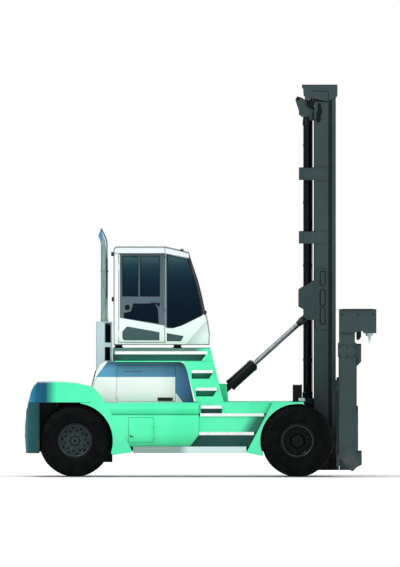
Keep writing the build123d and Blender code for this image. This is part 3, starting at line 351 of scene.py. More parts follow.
@dataclass(frozen=True)
class BallastEnamel(MachineEnamel):
    """Enamel on the cast counterweight: mint on top, with painted shade in deep teal on the skirt under the
    panel line.

    Its rounded rear corner carries the dark blue of the photograph as a painted reflection, which fades into
    mint.
    """

    line_z: float = 1.417

    def base(self, on: Brush) -> Colour:
        """Two ramps along X, a painted reflection above the panel line and painted shade below it, with a
        thin dark joint.
        """
        along = on.spread(on.x, -3.36, -2.6)
        # painted reflection on the rounded rear corner, fading into mint
        reflected_upper = on.ramp(
            along,
            [
                (0.0, "#6FACB4"), (0.14, "#2F86A0"), (0.3, "#0B5877"), (0.52, "#0C5169"), (0.62, "#359C88"),
                (0.8, "#58EDB4"),
            ],
        )
        # painted shade on the skirt, darkening towards the wheel
        lower = on.ramp(
            along, [(0.0, "#3F7D80"), (0.1, "#19555C"), (0.3, "#0F4746"), (0.42, "#0B2A27"), (0.6, "#081414")]
        )
        over = on.spread(on.z, self.line_z - 0.003, self.line_z + 0.003)
        both = on.mixed(over, lower, reflected_upper)
        gap = on.size(on.less(on.z, self.line_z))
        return on.mixed(on.spread(gap, 0.009, 0.004), both, "#0C3A44")


@dataclass(frozen=True)
class MastEnamel(MachineEnamel):
    """The mast's dark enamel, fading to black towards its foot."""

    foot_hex: str = "#070B0C"

    def base(self, on: Brush) -> Colour:
        """Slate above knee height, fading to black at the foot."""
        return on.mixed(on.spread(on.z, 0.75, 1.75), self.foot_hex, self.colour_hex)


@dataclass(frozen=True)
class TankEnamel(MachineEnamel):
    """Mint enamel on the folded tank sides, with painted shade under each fold and at the foot."""

    def base(self, on: Brush) -> Colour:
        """A ramp up Z: painted shade at the foot, mint panel, a painted dark line and shade in the fold, and
        mint again above it.
        """
        up = on.spread(on.z, 0.57, 1.42)
        # painted shade: dark at the foot, a dark line in the fold's groove and a shade under it
        return on.ramp(
            up,
            [
                (0.0, "#3C9A78"), (0.09, "#46D696"), (0.3, "#56F0B0"), (0.69, "#5CF7BA"), (0.715, "#5CF7BA"),
                (0.717, "#0F5A44"), (0.727, "#0F5A44"), (0.731, "#35C487"), (0.8, "#4DE3A2"),
                (0.9, "#5AF5B8"), (1.0, "#57F0B4"),
            ],
        )


@dataclass(frozen=True)
class CabEnamel(MachineEnamel):
    """The cab's white enamel, with a black post beside the windscreen and a blue-grey one at the door."""

    post_low: float = 3.092
    post_top: float = 4.172

    def base(self, on: Brush) -> Colour:
        """White that cools downwards, a soft shade under the nose's crease, and the two dark posts."""
        x, z = on.x, on.z
        side = on.spread(on.size(on.y), 0.7, 0.72)
        white = on.ramp(
            on.spread(z, 2.5, 4.4), [(0.0, "#E6F0EC"), (0.3, "#E8F0EE"), (0.7, "#E2EAEB"), (1.0, "#DAE2E4")]
        )
        # the crease runs down and back from 0.101, 2.977 to -0.277, 2.535; below it the nose is shaded
        crease = on.less(on.times(on.less(x, -0.277), 1.169), on.less(z, 2.535))
        fold = on.times(on.spread(crease, -0.01, 0.012), on.spread(crease, 0.3, 0.01))
        fold = on.times(fold, on.times(side, on.spread(z, 3.02, 2.95)))
        white = on.mixed(on.times(fold, 0.55), white, "#9DB0B0")
        # the windscreen post: in front of a slightly bowed line up the side window's front edge
        t = on.spread(z, 3.08, 4.16)
        bow = on.times(on.times(t, on.less(1.0, t)), 0.14)
        line = on.plus(on.plus(0.015, on.times(t, -0.288)), bow)
        ahead = on.spread(on.less(x, line), -0.002, 0.002)
        tall = on.times(
            on.spread(z, self.post_low - 0.003, self.post_low + 0.003),
            on.spread(z, self.post_top, self.post_top - 0.005),
        )
        black = on.times(ahead, tall)
        white = on.mixed(black, white, "#0A1014")
        post = on.times(on.spread(x, -0.684, -0.68), on.spread(x, -0.63, -0.634))
        post = on.times(post, on.times(on.spread(z, 2.84, 2.86), on.spread(z, 4.252, 4.248)))
        return on.mixed(on.times(post, side), white, "#5B6E76")


@dataclass(frozen=True)
class RecessEnamel(MachineEnamel):
    """Mint enamel whose toe pockets and recesses carry painted shade in deep teal, as the photograph shows
    them.

    A point is in a pocket when it lies deeper than a depth plane that leans with the stairs.
    """

    shade_hex: str = "#17605C"
    stair_hex: str = "#1DA283"

    def base(self, on: Brush) -> Colour:
        """Mint outside, with painted shade in teal inside the toe pockets of the stairs and the side panel.
        """
        x, z = on.x, on.z
        out = on.size(on.y)
        mint = self.colour_hex
        # the stairs lean in 0.162 m for each metre up; their front edge runs back 0.255 m a metre
        skin = on.less(1.33, on.times(on.less(z, 1.213), 0.162))
        deep = on.spread(on.less(skin, out), 0.025, 0.04)
        front = on.less(0.41, on.times(on.less(z, 1.427), 0.255))
        within = on.times(on.spread(on.less(front, x), 0.0, 0.004), on.spread(z, 1.44, 1.445))
        stairs = on.times(deep, within)
        low = on.times(on.spread(out, 1.19, 1.18), on.spread(z, 0.86, 0.855))
        notch = on.times(
            on.spread(out, 1.33, 1.31), on.times(on.spread(z, 1.2, 1.21), on.spread(z, 1.37, 1.36))
        )
        notch = on.times(notch, on.spread(x, 0.41, 0.406))
        inside = on.most(stairs, on.most(low, notch))
        # painted shadow at the panel's front end, beside the fender's slanted edge
        slant = on.plus(on.times(on.less(z, 0.856), 0.62), 0.93)
        near = on.spread(on.less(slant, x), 0.21, 0.0)
        panel = on.times(near, on.times(on.spread(z, 1.157, 1.154), on.spread(z, 0.85, 0.86)))
        mint = on.mixed(on.times(panel, 0.9), mint, "#17524B")
        # painted shade darkens the band above it against the same edge, which leans the other way
        lean = on.less(1.392, on.times(on.less(1.398, z), 0.446))
        close = on.spread(on.less(lean, x), 0.13, 0.0)
        band = on.times(close, on.spread(z, 1.19, 1.2))
        mint = on.mixed(on.times(band, 0.7), mint, "#2A7E66")
        # the pockets' painted shade: lighter teal in the stairs, deeper teal elsewhere
        teal = on.mixed(stairs, self.shade_hex, self.stair_hex)
        return on.mixed(inside, mint, teal)


@dataclass(frozen=True)
class PlatformEnamel(MachineEnamel):
    """Mint enamel on the cab platform, with painted shade in deep teal on its long side recess."""

    def base(self, on: Brush) -> Colour:
        """Painted shade in teal on the sub-frame's side faces under the platform's edge, and mint elsewhere.
        """
        out = on.size(on.y)
        inner = on.times(on.spread(out, 1.04, 1.03), on.spread(out, 0.99, 1.0))
        low = on.times(on.spread(on.z, 2.3375, 2.337), on.spread(on.x, 0.24, 0.235))
        # painted shade under the walkway, darkest at the rear end
        rear = on.ramp(
            on.spread(on.x, -1.7, 0.2),
            [(0.0, "#11302F"), (0.12, "#1F6A61"), (0.7, "#236F66"), (1.0, "#1B4F4C")],
        )
        # the edge above the bright strip and the rear end are greyed, and clear to mint at the front
        edge = on.times(on.spread(out, 1.124, 1.128), on.spread(on.x, 0.1, -0.1))
        worn = on.most(on.times(edge, on.spread(on.z, 2.392, 2.398)), on.spread(on.x, -1.62, -1.66))
        mint = on.mixed(worn, self.colour_hex, "#567A74")
        return on.mixed(on.times(inner, low), mint, rear)


@dataclass(frozen=True)
class DoorEnamel(MachineEnamel):
    """The cab door's enamel: blue-grey frame above a sloping line, white below it."""

    slope: float = -0.173
    line_z: float = 3.022  # the line's height at the rear post
    rear_x: float = -1.5

    def base(self, on: Brush) -> Colour:
        """Grey above the line and white below, with a soft vertical change in the grey."""
        ahead = on.less(on.x, self.rear_x)
        line = on.plus(self.line_z, on.times(ahead, self.slope))
        over = on.spread(on.less(on.z, line), -0.003, 0.003)
        up = on.spread(on.z, 2.9, 4.25)
        grey = on.ramp(up, [(0.0, "#55676F"), (0.5, "#485B65"), (1.0, "#3E5253")])
        rear = on.spread(on.x, -1.542, -1.548)
        grey = on.mixed(rear, grey, "#E6EDED")
        return on.mixed(over, "#E6EDED", grey)


@dataclass(frozen=True)
class CastSteel(Finish):
    """Sand-cast or flame-cut steel under satin paint: a grainy skin with rust in its corners."""

    colour_hex: str = "#2B3033"
    grain: float = 0.006
    roughness: float = 0.55
    specular: float = 0.3

    def dress(self, on: Brush) -> None:
        """Paint with cast grain and a little rust."""
        stain = on.spread(on.noise(0.12, 4.0), 0.6, 0.78)
        rust = on.times(stain, 0.22)
        on.colour(on.mixed(rust, self.colour_hex, "#4A3527"))
        on.put("Roughness", on.plus(self.roughness, on.times(stain, 0.2)))
        on.put("Specular IOR Level", self.specular)
        on.bump(on.noise(self.grain, 3.0), 0.0012, 0.25)


@dataclass(frozen=True)
class RimEnamel(CastSteel):
    """Rim enamel: grey on the disc, nearly black on the flange and the barrel outside it."""

    disc_y: float = 1.215
    dark_hex: str = "#0A1012"

    def dress(self, on: Brush) -> None:
        """As cast steel, with the tone changed past the disc."""
        super().dress(on)
        out = on.size(on.y)
        far = on.spread(out, self.disc_y + 0.03, self.disc_y + 0.045)
        on.colour(on.mixed(far, on.under(), self.dark_hex))


@dataclass(frozen=True)
class BareMetal(Finish):
    """Unpainted metal: brushed, ground or chromed, with lines or smears along its length."""

    colour_hex: str = "#C9CED1"
    roughness: float = 0.3
    lines: float = 0.0015  # width of one brushed line
    stretch: Point = (1.0, 1.0, 0.02)
    depth: float = 0.0002

    def dress(self, on: Brush) -> None:
        """Full metal with stretched noise in tone and roughness."""
        drawn = add_node(on.tree, "Mapping", None, {"Vector": on.place, "Scale": self.stretch}).outputs[0]
        streak = on.noise(self.lines * 8, 3.0, drawn)
        tone = on.mixed(on.spread(streak, 0.3, 0.7), self.colour_hex, "#E9EEEE")
        on.colour(on.mixed(0.75, tone, self.colour_hex))
        on.put("Metallic", 1.0)
        swing = on.times(on.spread(streak, 0.35, 0.65), 0.14)
        on.put("Roughness", on.plus(self.roughness, swing))
        on.bump(streak, self.depth, 0.3)


@dataclass(frozen=True)
class RodMetal(BareMetal):
    """Hard chrome on a tilt rod, with black enamel on its forged eye."""

    eye_x: float = 1.86

    def dress(self, on: Brush) -> None:
        """As bare metal, black and dull ahead of the eye's shoulder."""
        super().dress(on)
        ahead = on.spread(on.x, self.eye_x, self.eye_x + 0.004)
        on.colour(on.mixed(ahead, on.under(), "#0A1011"))
        on.put("Metallic", on.less(1.0, ahead))
        on.put("Roughness", on.plus(self.roughness, on.times(ahead, 0.4)))


@dataclass(frozen=True)
class PipeMetal(BareMetal):
    """Aluminised exhaust pipe: painted shade in black on the silencer, and blue behind its slant-cut mouth.
    """

    def dress(self, on: Brush) -> None:
        """As bare metal, with the silencer's painted shade in black and the blue of the mouth."""
        super().dress(on)
        # painted shade: the silencer is near black below 2.9 m, so that the heat shield's slots read dark
        low = on.spread(on.z, 2.9, 2.89)
        mouth = on.times(on.spread(on.z, 4.46, 4.52), on.spread(on.x, -1.868, -1.885))
        mouth_blue = on.mixed(mouth, on.under(), "#5C84B4")
        on.colour(on.mixed(low, mouth_blue, "#0E1618"))


@dataclass(frozen=True)
class TyreRubber(Finish):
    """Carbon-black natural rubber, pressed in a mould: near black, faintly dusty, matt on the tread."""

    colour_hex: str = "#030607"
    dust_hex: str = "#2A2B29"

    def dress(self, on: Brush) -> None:
        """Black with dust in its film, and fine mould grain."""
        film = on.noise(0.16, 5.0)
        amount = on.times(on.spread(film, 0.45, 0.8), 0.22)
        on.colour(on.mixed(amount, self.colour_hex, self.dust_hex))
        on.put("Roughness", on.plus(0.36, on.times(film, 0.2)))
        on.put("Specular IOR Level", 0.06)
        # the mould's grain is under a millimetre; drawn at 5 mm
        on.bump(on.noise(0.005, 2.0), 0.0006, 0.2)


@dataclass(frozen=True)
class MouldedPlastic(Finish):
    """Injection-moulded ABS or nylon: an even tone, leathery mould grain, soft highlights."""

    colour_hex: str = "#17191B"
    roughness: float = 0.48
    grain: float = 0.003
    specular: float = 0.35

    def dress(self, on: Brush) -> None:
        """One tone with slight scuffs and a cell pattern for the mould grain."""
        scuff = on.spread(on.noise(0.07, 4.0), 0.55, 0.8)
        lighter = on.times(scuff, 0.1)
        on.colour(on.mixed(lighter, self.colour_hex, "#6A6E70"))
        on.put("Roughness", on.plus(self.roughness, on.times(scuff, 0.15)))
        on.put("Specular IOR Level", self.specular)
        cells = add_node(
            on.tree, "TexVoronoi", {"feature": "SMOOTH_F1"}, {"Vector": on.place, "Scale": 1 / self.grain}
        ).outputs["Distance"]
        on.bump(cells, 0.0002, 0.25)


@dataclass(frozen=True)
class TintedGlass(Finish):
    """Float glass tinted navy in the melt, with a painted reflection that lightens it to teal near the top,
    as the windows show.
    """

    top_hex: str = "#7FA6AE"
    low_hex: str = "#1B2E45"
    low_z: float = 3.0
    top_z: float = 4.2
    transmission: float = 0.85

    def dress(self, on: Brush) -> None:
        """Clear, smooth and tinted, with a faint film of dust in the roughness."""
        up = on.spread(on.z, self.low_z, self.top_z)
        # the tint carries a painted reflection: light teal near the top, navy lower down
        tint_and_reflection = on.ramp(
            up,
            [(0.0, self.low_hex), (0.3, "#1E3850"), (0.6, "#2B4C68"), (0.85, "#4A7484"), (1.0, self.top_hex)],
        )
        on.colour(tint_and_reflection)
        on.put("Transmission Weight", self.transmission)
        on.put("IOR", 1.45)
        on.put("Specular Tint", "#8FCBE6")
        film = on.spread(on.noise(0.4, 4.0), 0.4, 0.8)
        on.put("Roughness", on.times(film, 0.05))


@dataclass(frozen=True)
class LampLens(Finish):
    """Pressed lamp glass or tinted acrylic, ribbed inside: bright and a little milky."""

    colour_hex: str = "#F4F7F5"
    roughness: float = 0.12

    def dress(self, on: Brush) -> None:
        """A pale gloss with fine upright ribs."""
        on.colour(self.colour_hex)
        on.put("Roughness", self.roughness)
        on.put("Coat Weight", 0.6)
        on.bump(on.bars("Y", 22.0), 0.001, 0.3)


@dataclass(frozen=True)
class TreadAlloy(Finish):
    """Extruded aluminium step plate, left bright: pale metal with fine raised bars for grip."""

    colour_hex: str = "#F4F8F7"
    metal: float = 0.35
    pitch: float = 0.016

    def dress(self, on: Brush) -> None:
        """Pale, half metal, worn along the bars, with a bar bump across Y."""
        worn = on.spread(on.noise(0.09, 4.0), 0.4, 0.75)
        on.colour(on.mixed(on.times(worn, 0.3), self.colour_hex, "#C4CCCB"))
        on.put("Metallic", self.metal)
        on.put("Roughness", on.plus(0.32, on.times(worn, 0.2)))
        on.bump(on.bars("Y", BAR_SCALE / self.pitch), 0.002, 0.4)


@dataclass(frozen=True)
class SillAlloy(TreadAlloy):
    """The long edge strip at the foot of the tank: greyer at the rear with painted shadow under the tank,
    bright in front.
    """

    change_x: float = -0.32

    def dress(self, on: Brush) -> None:
        """As the step plate, with painted shadow changing its tone along X below the tank only."""
        super().dress(on)
        # painted shadow under the tank greys the strip's rear half
        rear = on.spread(on.x, self.change_x + 0.08, self.change_x - 0.08)
        low = on.spread(on.z, 0.59, 0.58)
        both = on.times(rear, low)
        bright = on.mixed(low, on.under(), "#D8EDEB")
        on.colour(on.mixed(both, bright, "#8FA8A1"))


@dataclass(frozen=True)
class SeatCloth(Finish):
    """Woven polyester seat cloth: dull, slightly hairy, with a plain weave drawn at 4 mm."""

    colour_hex: str = "#23272C"
    thread: float = 0.004

    def dress(self, on: Brush) -> None:
        """Warp and weft as two crossed waves, with sheen."""
        scale = BAR_SCALE / self.thread
        weave = on.times(on.bars("Y", scale), on.bars("DIAGONAL", scale))
        fade = on.noise(0.15, 2.0)
        base = on.mixed(on.spread(fade, 0.3, 0.7), self.colour_hex, "#30363C")
        on.colour(on.mixed(on.times(weave, 0.35), base, "#4A525A"))
        on.put("Roughness", 0.9)
        on.put("Sheen Weight", 0.4)
        on.put("Sheen Roughness", 0.5)
        on.bump(weave, 0.0008, 0.5)


@dataclass(frozen=True)
class LeafChain(Finish):
    """Oiled steel leaf chain: dark plates side by side, with a bright pin at every half pitch."""

    pitch: float = 0.064  # real plates are 51 mm; drawn a little longer
    plate: float = 0.012

    def dress(self, on: Brush) -> None:
        """Bars across Z for the plates' waists and bars across Y for the gaps between plates."""
        along = on.bars("Z", BAR_SCALE / self.pitch)
        across = on.bars("Y", BAR_SCALE / self.plate)
        height = on.plus(along, on.times(across, 0.6))
        on.colour(on.mixed(on.spread(along, 0.55, 0.9), "#1C1E1F", "#6F7473"))
        on.put("Metallic", 0.8)
        on.put("Roughness", 0.38)
        on.bump(height, 0.006, 0.6)


class Shop:
    """Every finish on the machine, named for what it is."""

    mint = MachineEnamel("mint_enamel", "body_green", colour_hex="#58EFB4")
    tank = TankEnamel("tank_enamel", "body_green")
    ballast = BallastEnamel("ballast_enamel", "body_green", specular=0.22)
    hood = HoodEnamel("hood_enamel", "hood_white", dust=0.0, gloss=0.3)
    cab = CabEnamel("cab_enamel", "cab_white", dust=0.0, mottle=0.01)
    steps = RecessEnamel("step_enamel", "body_green", colour_hex="#58EFB4")
    platform = PlatformEnamel("platform_enamel", "body_green", colour_hex="#58EFB4")
    door = DoorEnamel("door_enamel", "door_grey", dust=0.0, mottle=0.02)
    panel = MachineEnamel("lower_panel_enamel", "door_grey", colour_hex="#3A5357", dust=0.0, gloss=0.4)
    mast = MastEnamel(
        "mast_enamel", "mast_grey", colour_hex="#2F3F40", dust=0.12, gloss=0.42, specular=0.22, mottle=0.09
    )
    arm = MachineEnamel(
        "arm_enamel", "mast_grey", colour_hex="#2F3F40", dust=0.25, gloss=0.42, specular=0.22, mottle=0.09
    )
    black = MachineEnamel(
        "chassis_enamel", "chassis_black", colour_hex="#0B0E0F", dust=0.3, gloss=0.5, specular=0.12
    )
    cylinder = MachineEnamel(
        "cylinder_enamel", "cylinder_black", colour_hex="#05090A", dust=0.0, gloss=0.3, specular=0.14
    )
    wheel = RimEnamel("rim_enamel", "rim_grey", colour_hex="#2A3D3E", roughness=0.45, specular=0.2)
    hub = CastSteel("hub_enamel", "rim_grey", colour_hex="#090F10", roughness=0.42, specular=0.12)
    weld = CastSteel("painted_weld_bead", "mast_grey", colour_hex="#2A3839", roughness=0.4)
    ring = CastSteel("lock_ring_enamel", "rim_grey", colour_hex="#3C4C4E", roughness=0.3, specular=0.6)
    iron = CastSteel("engine_iron", "iron", colour_hex="#2B2E2E", roughness=0.6)
    dark_bolt = CastSteel("blacked_bolt_steel", "rim_grey", colour_hex="#0A0E0F", roughness=0.4, grain=0.004)
    bolt = BareMetal("zinc_plated_steel", "steel", colour_hex="#8B9291", roughness=0.38)
    sheave = BareMetal("turned_steel", "steel", colour_hex="#7C8283", roughness=0.35)
    exhaust = PipeMetal(
        "aluminised_pipe", "steel", colour_hex="#7FA29B", roughness=0.26, stretch=(1, 1, 0.05)
    )
    shield = BareMetal(
        "bright_shield_sheet", "tread_alloy", colour_hex="#BAD4DC", roughness=0.4, stretch=(1, 1, 0.03)
    )
    tilt_chrome = RodMetal(
        "tilt_rod_chrome", "rod_chrome", colour_hex="#434F55", roughness=0.16, depth=0.00005
    )
    chrome = BareMetal("hard_chrome_rod", "rod_chrome", colour_hex="#434F55", roughness=0.16, depth=0.00005)
    lock = BareMetal("forged_lock_steel", "steel", colour_hex="#AEB8BA", roughness=0.34)
    tread = TreadAlloy("step_plate_alloy", "tread_alloy")
    sill = SillAlloy("sill_alloy", "tread_alloy")
    tyre = TyreRubber("tyre_rubber", "tyre")
    rubber = MouldedPlastic("moulded_rubber", "rubber", colour_hex="#101213", roughness=0.65, specular=0.2)
    plastic = MouldedPlastic("grained_plastic", "trim_black")
    trim = MouldedPlastic("edge_trim_rubber", "rubber", colour_hex="#4E5A5C", roughness=0.6, specular=0.2)
    glass = TintedGlass("tinted_float_glass", "glass")
    lens = LampLens("lamp_glass", "glass")
    amber = LampLens("amber_acrylic", "glass", colour_hex="#E98A12")
    red = LampLens("red_acrylic", "glass", colour_hex="#A5150F")
    cloth = SeatCloth("seat_cloth", "seat_fabric")
    chain = LeafChain("oiled_leaf_chain", "steel")


# Surfaces


@dataclass
class Mesh:
    """Vertices as an (n, 3) array and faces as tuples of vertex numbers."""

    points: Array
    faces: list[tuple[int, ...]]


def joined(parts: list[Mesh]) -> Mesh:
    """Put several meshes into one, renumbering their faces."""
    points, faces, start = [], [], 0
    for part in parts:
        points.append(part.points)
        faces += [tuple(i + start for i in face) for face in part.faces]
        start += len(part.points)
    return Mesh(np.concatenate(points), faces)


def grid_faces(rows: int, columns: int, wrap_rows: bool, wrap_columns: bool) -> list[tuple[int, ...]]:
    """Join a grid of points, numbered row by row, into four-sided faces.

    Args:
        rows: points along the first parameter.
        columns: points along the second.
        wrap_rows: whether the last row joins the first.
        wrap_columns: whether the last column joins the first.

    Returns:
        The faces, each turned the same way.
    """
    r = np.arange(rows if wrap_rows else rows - 1)[:, None]
    c = np.arange(columns if wrap_columns else columns - 1)[None, :]
    r2, c2 = (r + 1) % rows, (c + 1) % columns
    corners = [r * columns + c, r * columns + c2, r2 * columns + c2, r2 * columns + c]
    return [tuple(f) for f in np.stack([k.ravel() for k in corners], axis=1).tolist()]


def turned(profile: Array, centre: Point, axis: Axis, steps: int = 48, loop: bool = False) -> Mesh:
    """Turn a profile round an axis.

    A point at radius r and height h along the axis goes to r cos t and r sin t on the two other axes,
    for steps values of t round the circle. The first and last points are closed by a flat cap, or by
    a point where their radius is zero.

    Args:
        profile: rows of (radius, height along the axis).
        centre: where the axis starts.
        axis: the axis that it turns round.
        steps: points round the circle.
        loop: whether the profile closes on itself, which makes a ring without caps.

    Returns:
        A closed mesh.
    """
    profile = np.asarray(profile, float)
    angle = np.linspace(0, 2 * math.pi, steps, endpoint=False)
    radius, height = profile[:, 0][:, None], profile[:, 1][:, None]
    ring = [radius * np.cos(angle), radius * np.sin(angle), np.broadcast_to(height, (len(profile), steps))]
    order = {Axis.X: (2, 0, 1), Axis.Y: (1, 2, 0), Axis.Z: (0, 1, 2)}[axis]
    points = np.stack([ring[k] for k in order], axis=-1).reshape(-1, 3) + np.asarray(centre, float)
    faces = grid_faces(len(profile), steps, loop, True)
    if loop:
        return Mesh(points, faces)
    low = tuple(range(steps))
    high = tuple((len(profile) - 1) * steps + i for i in reversed(range(steps)))
    return Mesh(points, faces + [low, high])


def prism(outline: Array, low: float, high: float, axis: Axis = Axis.Y) -> Mesh:
    """Push a flat outline along an axis.

    A point (a, b) of the outline goes to the two other axes in the order X, Y, Z, once at low and once
    at high, and the sides join the two.
    """
    outline = np.asarray(outline, float)
    n = len(outline)
    flat = [np.tile(outline[:, 0], 2), np.tile(outline[:, 1], 2), np.repeat([low, high], n)]
    order = {Axis.X: (2, 0, 1), Axis.Y: (0, 2, 1), Axis.Z: (0, 1, 2)}[axis]
    points = np.stack([flat[k] for k in order], axis=1)
    sides = [(i, (i + 1) % n, n + (i + 1) % n, n + i) for i in range(n)]
    return Mesh(points, sides + [tuple(reversed(range(n))), tuple(range(n, 2 * n))])


def rounded_outline(width: float, height: float, radius: float, steps: int = 5) -> Array:
    """Return a rectangle about the origin whose corners are quarter circles of the radius."""
    angle = np.linspace(0, math.pi / 2, steps)
    arc = np.stack([np.cos(angle), np.sin(angle)], axis=1) * radius
    turn = np.array([[[1, 0], [0, 1]], [[0, -1], [1, 0]], [[-1, 0], [0, -1]], [[0, 1], [-1, 0]]])
    middle = np.array([[1, 1], [-1, 1], [-1, -1], [1, -1]]) * [width / 2 - radius, height / 2 - radius]
    return np.concatenate([arc @ turn[k].T + middle[k] for k in range(4)])


def swept(path: Array, profile: Array, up: Point = (0, 0, 1), close: bool = False) -> Mesh:
    """Carry a profile along a path.

    At each point the path's direction, up crossed with it, and their cross product make a frame; a
    profile point (a, b) goes a along the second and b along the third.

    Args:
        path: rows of X, Y, Z.
        profile: rows of two offsets, in order round the profile.
        up: a direction that the path never runs along.
        close: whether the path's end joins its start.

    Returns:
        A tube with flat caps, or a ring.
    """
    path, profile = np.asarray(path, float), np.asarray(profile, float)
    if close:
        forward = np.roll(path, -1, axis=0) - np.roll(path, 1, axis=0)
    else:
        forward = np.gradient(path, axis=0)
    forward /= np.linalg.norm(forward, axis=1, keepdims=True)
    side = np.cross(np.asarray(up, float), forward)
    side /= np.linalg.norm(side, axis=1, keepdims=True)
    rise = np.cross(forward, side)
    rings = path[:, None] + profile[None, :, :1] * side[:, None] + profile[None, :, 1:] * rise[:, None]
    n, m = len(path), len(profile)
    faces = grid_faces(n, m, close, True)
    if not close:
        faces += [tuple(range(m)), tuple((n - 1) * m + i for i in reversed(range(m)))]
    return Mesh(rings.reshape(-1, 3), faces)


def slab(outline: Array, side: float, near: float, far: float) -> Mesh:
    """Push an outline in X and Z along Y, between two distances from the middle plane on one side."""
    return prism(outline, *sorted((side * near, side * far)))


def circle(radius: float, steps: int = 12) -> Array:
    """Return points round a circle about the origin."""
    angle = np.linspace(0, 2 * math.pi, steps, endpoint=False)
    return np.stack([np.cos(angle), np.sin(angle)], axis=1) * radius


def flat_bar(a: Point, b: Point, width: float, height: float, up: Point = (0, 0, 1)) -> Mesh:
    """Return a straight rectangular bar between two points."""
    return swept([a, b], rectangle(width, height), up)


def round_bar(a: Point, b: Point, radius: float, up: Point, steps: int = 10) -> Mesh:
    """Return a straight round rod between two points."""
    return swept([a, b], circle(radius, steps), up)


def upright(x: float, y: float, low: float, high: float, steps: int) -> Array:
    """Return a path straight up at X and Y."""
    return np.stack([np.full(steps, x), np.full(steps, y), np.linspace(low, high, steps)], axis=1)


def arch(centre: tuple[float, float], radius: float, y: float, steps: int = 28) -> Array:
    """Return half a circle about a centre in X and Z, from its rear over its top to its front."""
    t = np.linspace(math.pi, 0, steps)
    return np.stack(
        [centre[0] + radius * np.cos(t), np.full(steps, y), centre[1] + radius * np.sin(t)], axis=1
    )


def ring_band(
    inner: float, outer: float, low: float, high: float, edge: float, centre: Point, axis: Axis,
    steps: int = 40,
) -> Mesh:
    """Return a ring whose outer corners are chamfered by the edge along the axis."""
    profile = [(inner, low), (outer, low + edge), (outer, high - edge), (inner, high)]
    return turned(profile, centre, axis, steps, True)


def knob(
    radius: float, top: float, low: float, high: float, centre: Point, axis: Axis, steps: int,
    way: float = 1.0,
) -> Mesh:
    """Return a round boss that is straight up to low and narrows to the top radius at high."""
    profile = [(0.0, 0.0), (radius, 0.0), (radius, way * low), (top, way * high), (0.0, way * high)]
    return turned(profile, centre, axis, steps)


def smooth_path(points: list[Point], steps: int = 48) -> Array:
    """Return a curve that leaves out the corners of a few points.

    It is the quadratic B-spline of the points with its ends held, sampled at even parameter steps.
    """
    given = np.asarray(points, float)
    n = len(given)
    knots = np.concatenate([[0, 0], np.arange(n - 1), [n - 2, n - 2]]).astype(float)
    t = np.linspace(0, n - 2 - 1e-9, steps)
    span = np.floor(t).astype(int)
    a, b, c = given[span], given[span + 1], given[span + 2]
    k1, k2, k3, k4 = (knots[span + i] for i in (1, 2, 3, 4))
    low = (t - k1) / np.maximum(k3 - k1, 1e-9)
    high = (t - k2) / np.maximum(k4 - k2, 1e-9)
    near = (t - k2) / np.maximum(k3 - k2, 1e-9)
    first = a * (1 - low)[:, None] + b * low[:, None]
    second = b * (1 - high)[:, None] + c * high[:, None]
    return first * (1 - near)[:, None] + second * near[:, None]


def hose(points: list[Point], radius: float, steps: int = 48, up=(0, 1, 0)) -> Mesh:
    """Return a round hose along a smoothed path."""
    return swept(smooth_path(points, steps), circle(radius, 10), up)


def pillow(centre: Point, half: Point, power: float = 4.0) -> Mesh:
    """Return a rounded box.

    It is a superellipsoid: the sines and cosines of two angles, each raised to 2 / power with its
    sign kept, times the half sizes. A high power is boxy and 2 is an ellipsoid.
    """
    u = np.linspace(-math.pi / 2, math.pi / 2, 17)[1:-1][:, None]
    v = np.linspace(-math.pi, math.pi, 32, endpoint=False)[None, :]

    def eased(x: Array) -> Array:
        """Raise to 2 / power, keeping the sign."""
        return np.sign(x) * np.abs(x) ** (2 / power)

    parts = [
        eased(np.cos(u)) * eased(np.cos(v)), eased(np.cos(u)) * eased(np.sin(v)),
        eased(np.sin(u)) * np.ones_like(v),
    ]
    points = np.stack(parts, axis=-1).reshape(-1, 3) * np.asarray(half) + np.asarray(centre)
    faces = grid_faces(15, 32, False, True)
    return Mesh(points, faces + [tuple(reversed(range(32))), tuple(14 * 32 + i for i in range(32))])


def copies(one: Mesh, places: Array) -> Mesh:
    """Repeat a mesh at each row of places, all at once."""
    places = np.asarray(places, float)
    n = len(one.points)
    points = (one.points[None] + places[:, None]).reshape(-1, 3)
    faces = [tuple(i + k * n for i in face) for k in range(len(places)) for face in one.faces]
    return Mesh(points, faces)


def hex_bolt(axis: Axis, way: float, across: float = 0.03, height: float = 0.02) -> Mesh:
    """Return a bolt head with washer: a six-sided turned profile with a chamfer, on a round washer."""
    r = across / 2 / math.cos(math.pi / 6)
    head = turned([(r, 0.0), (r, way * height * 0.85), (r * 0.86, way * height)], (0, 0, 0), axis, 6)
    washer = turned(
        [(r * 1.45, 0.0), (r * 1.45, way * height * 0.2), (r * 1.3, way * height * 0.25)], (0, 0, 0), axis, 16
    )
    return joined([head, washer])


def spun(count: int, radius: float, centre: Point, axis: Axis, start: float = 0.0) -> Array:
    """Return evenly spaced places on a circle round an axis."""
    angle = start + np.linspace(0, 2 * math.pi, count, endpoint=False)
    flat = [radius * np.cos(angle), radius * np.sin(angle), np.zeros(count)]
    order = {Axis.X: (2, 0, 1), Axis.Y: (1, 2, 0), Axis.Z: (0, 1, 2)}[axis]
    return np.stack([flat[k] for k in order], axis=1) + np.asarray(centre, float)


def rectangle(width: float, height: float) -> Array:
    """Return a rectangle about the origin, as a profile for a bar."""
    a, b = width / 2, height / 2
    return np.array([(-a, -b), (a, -b), (a, b), (-a, b)])


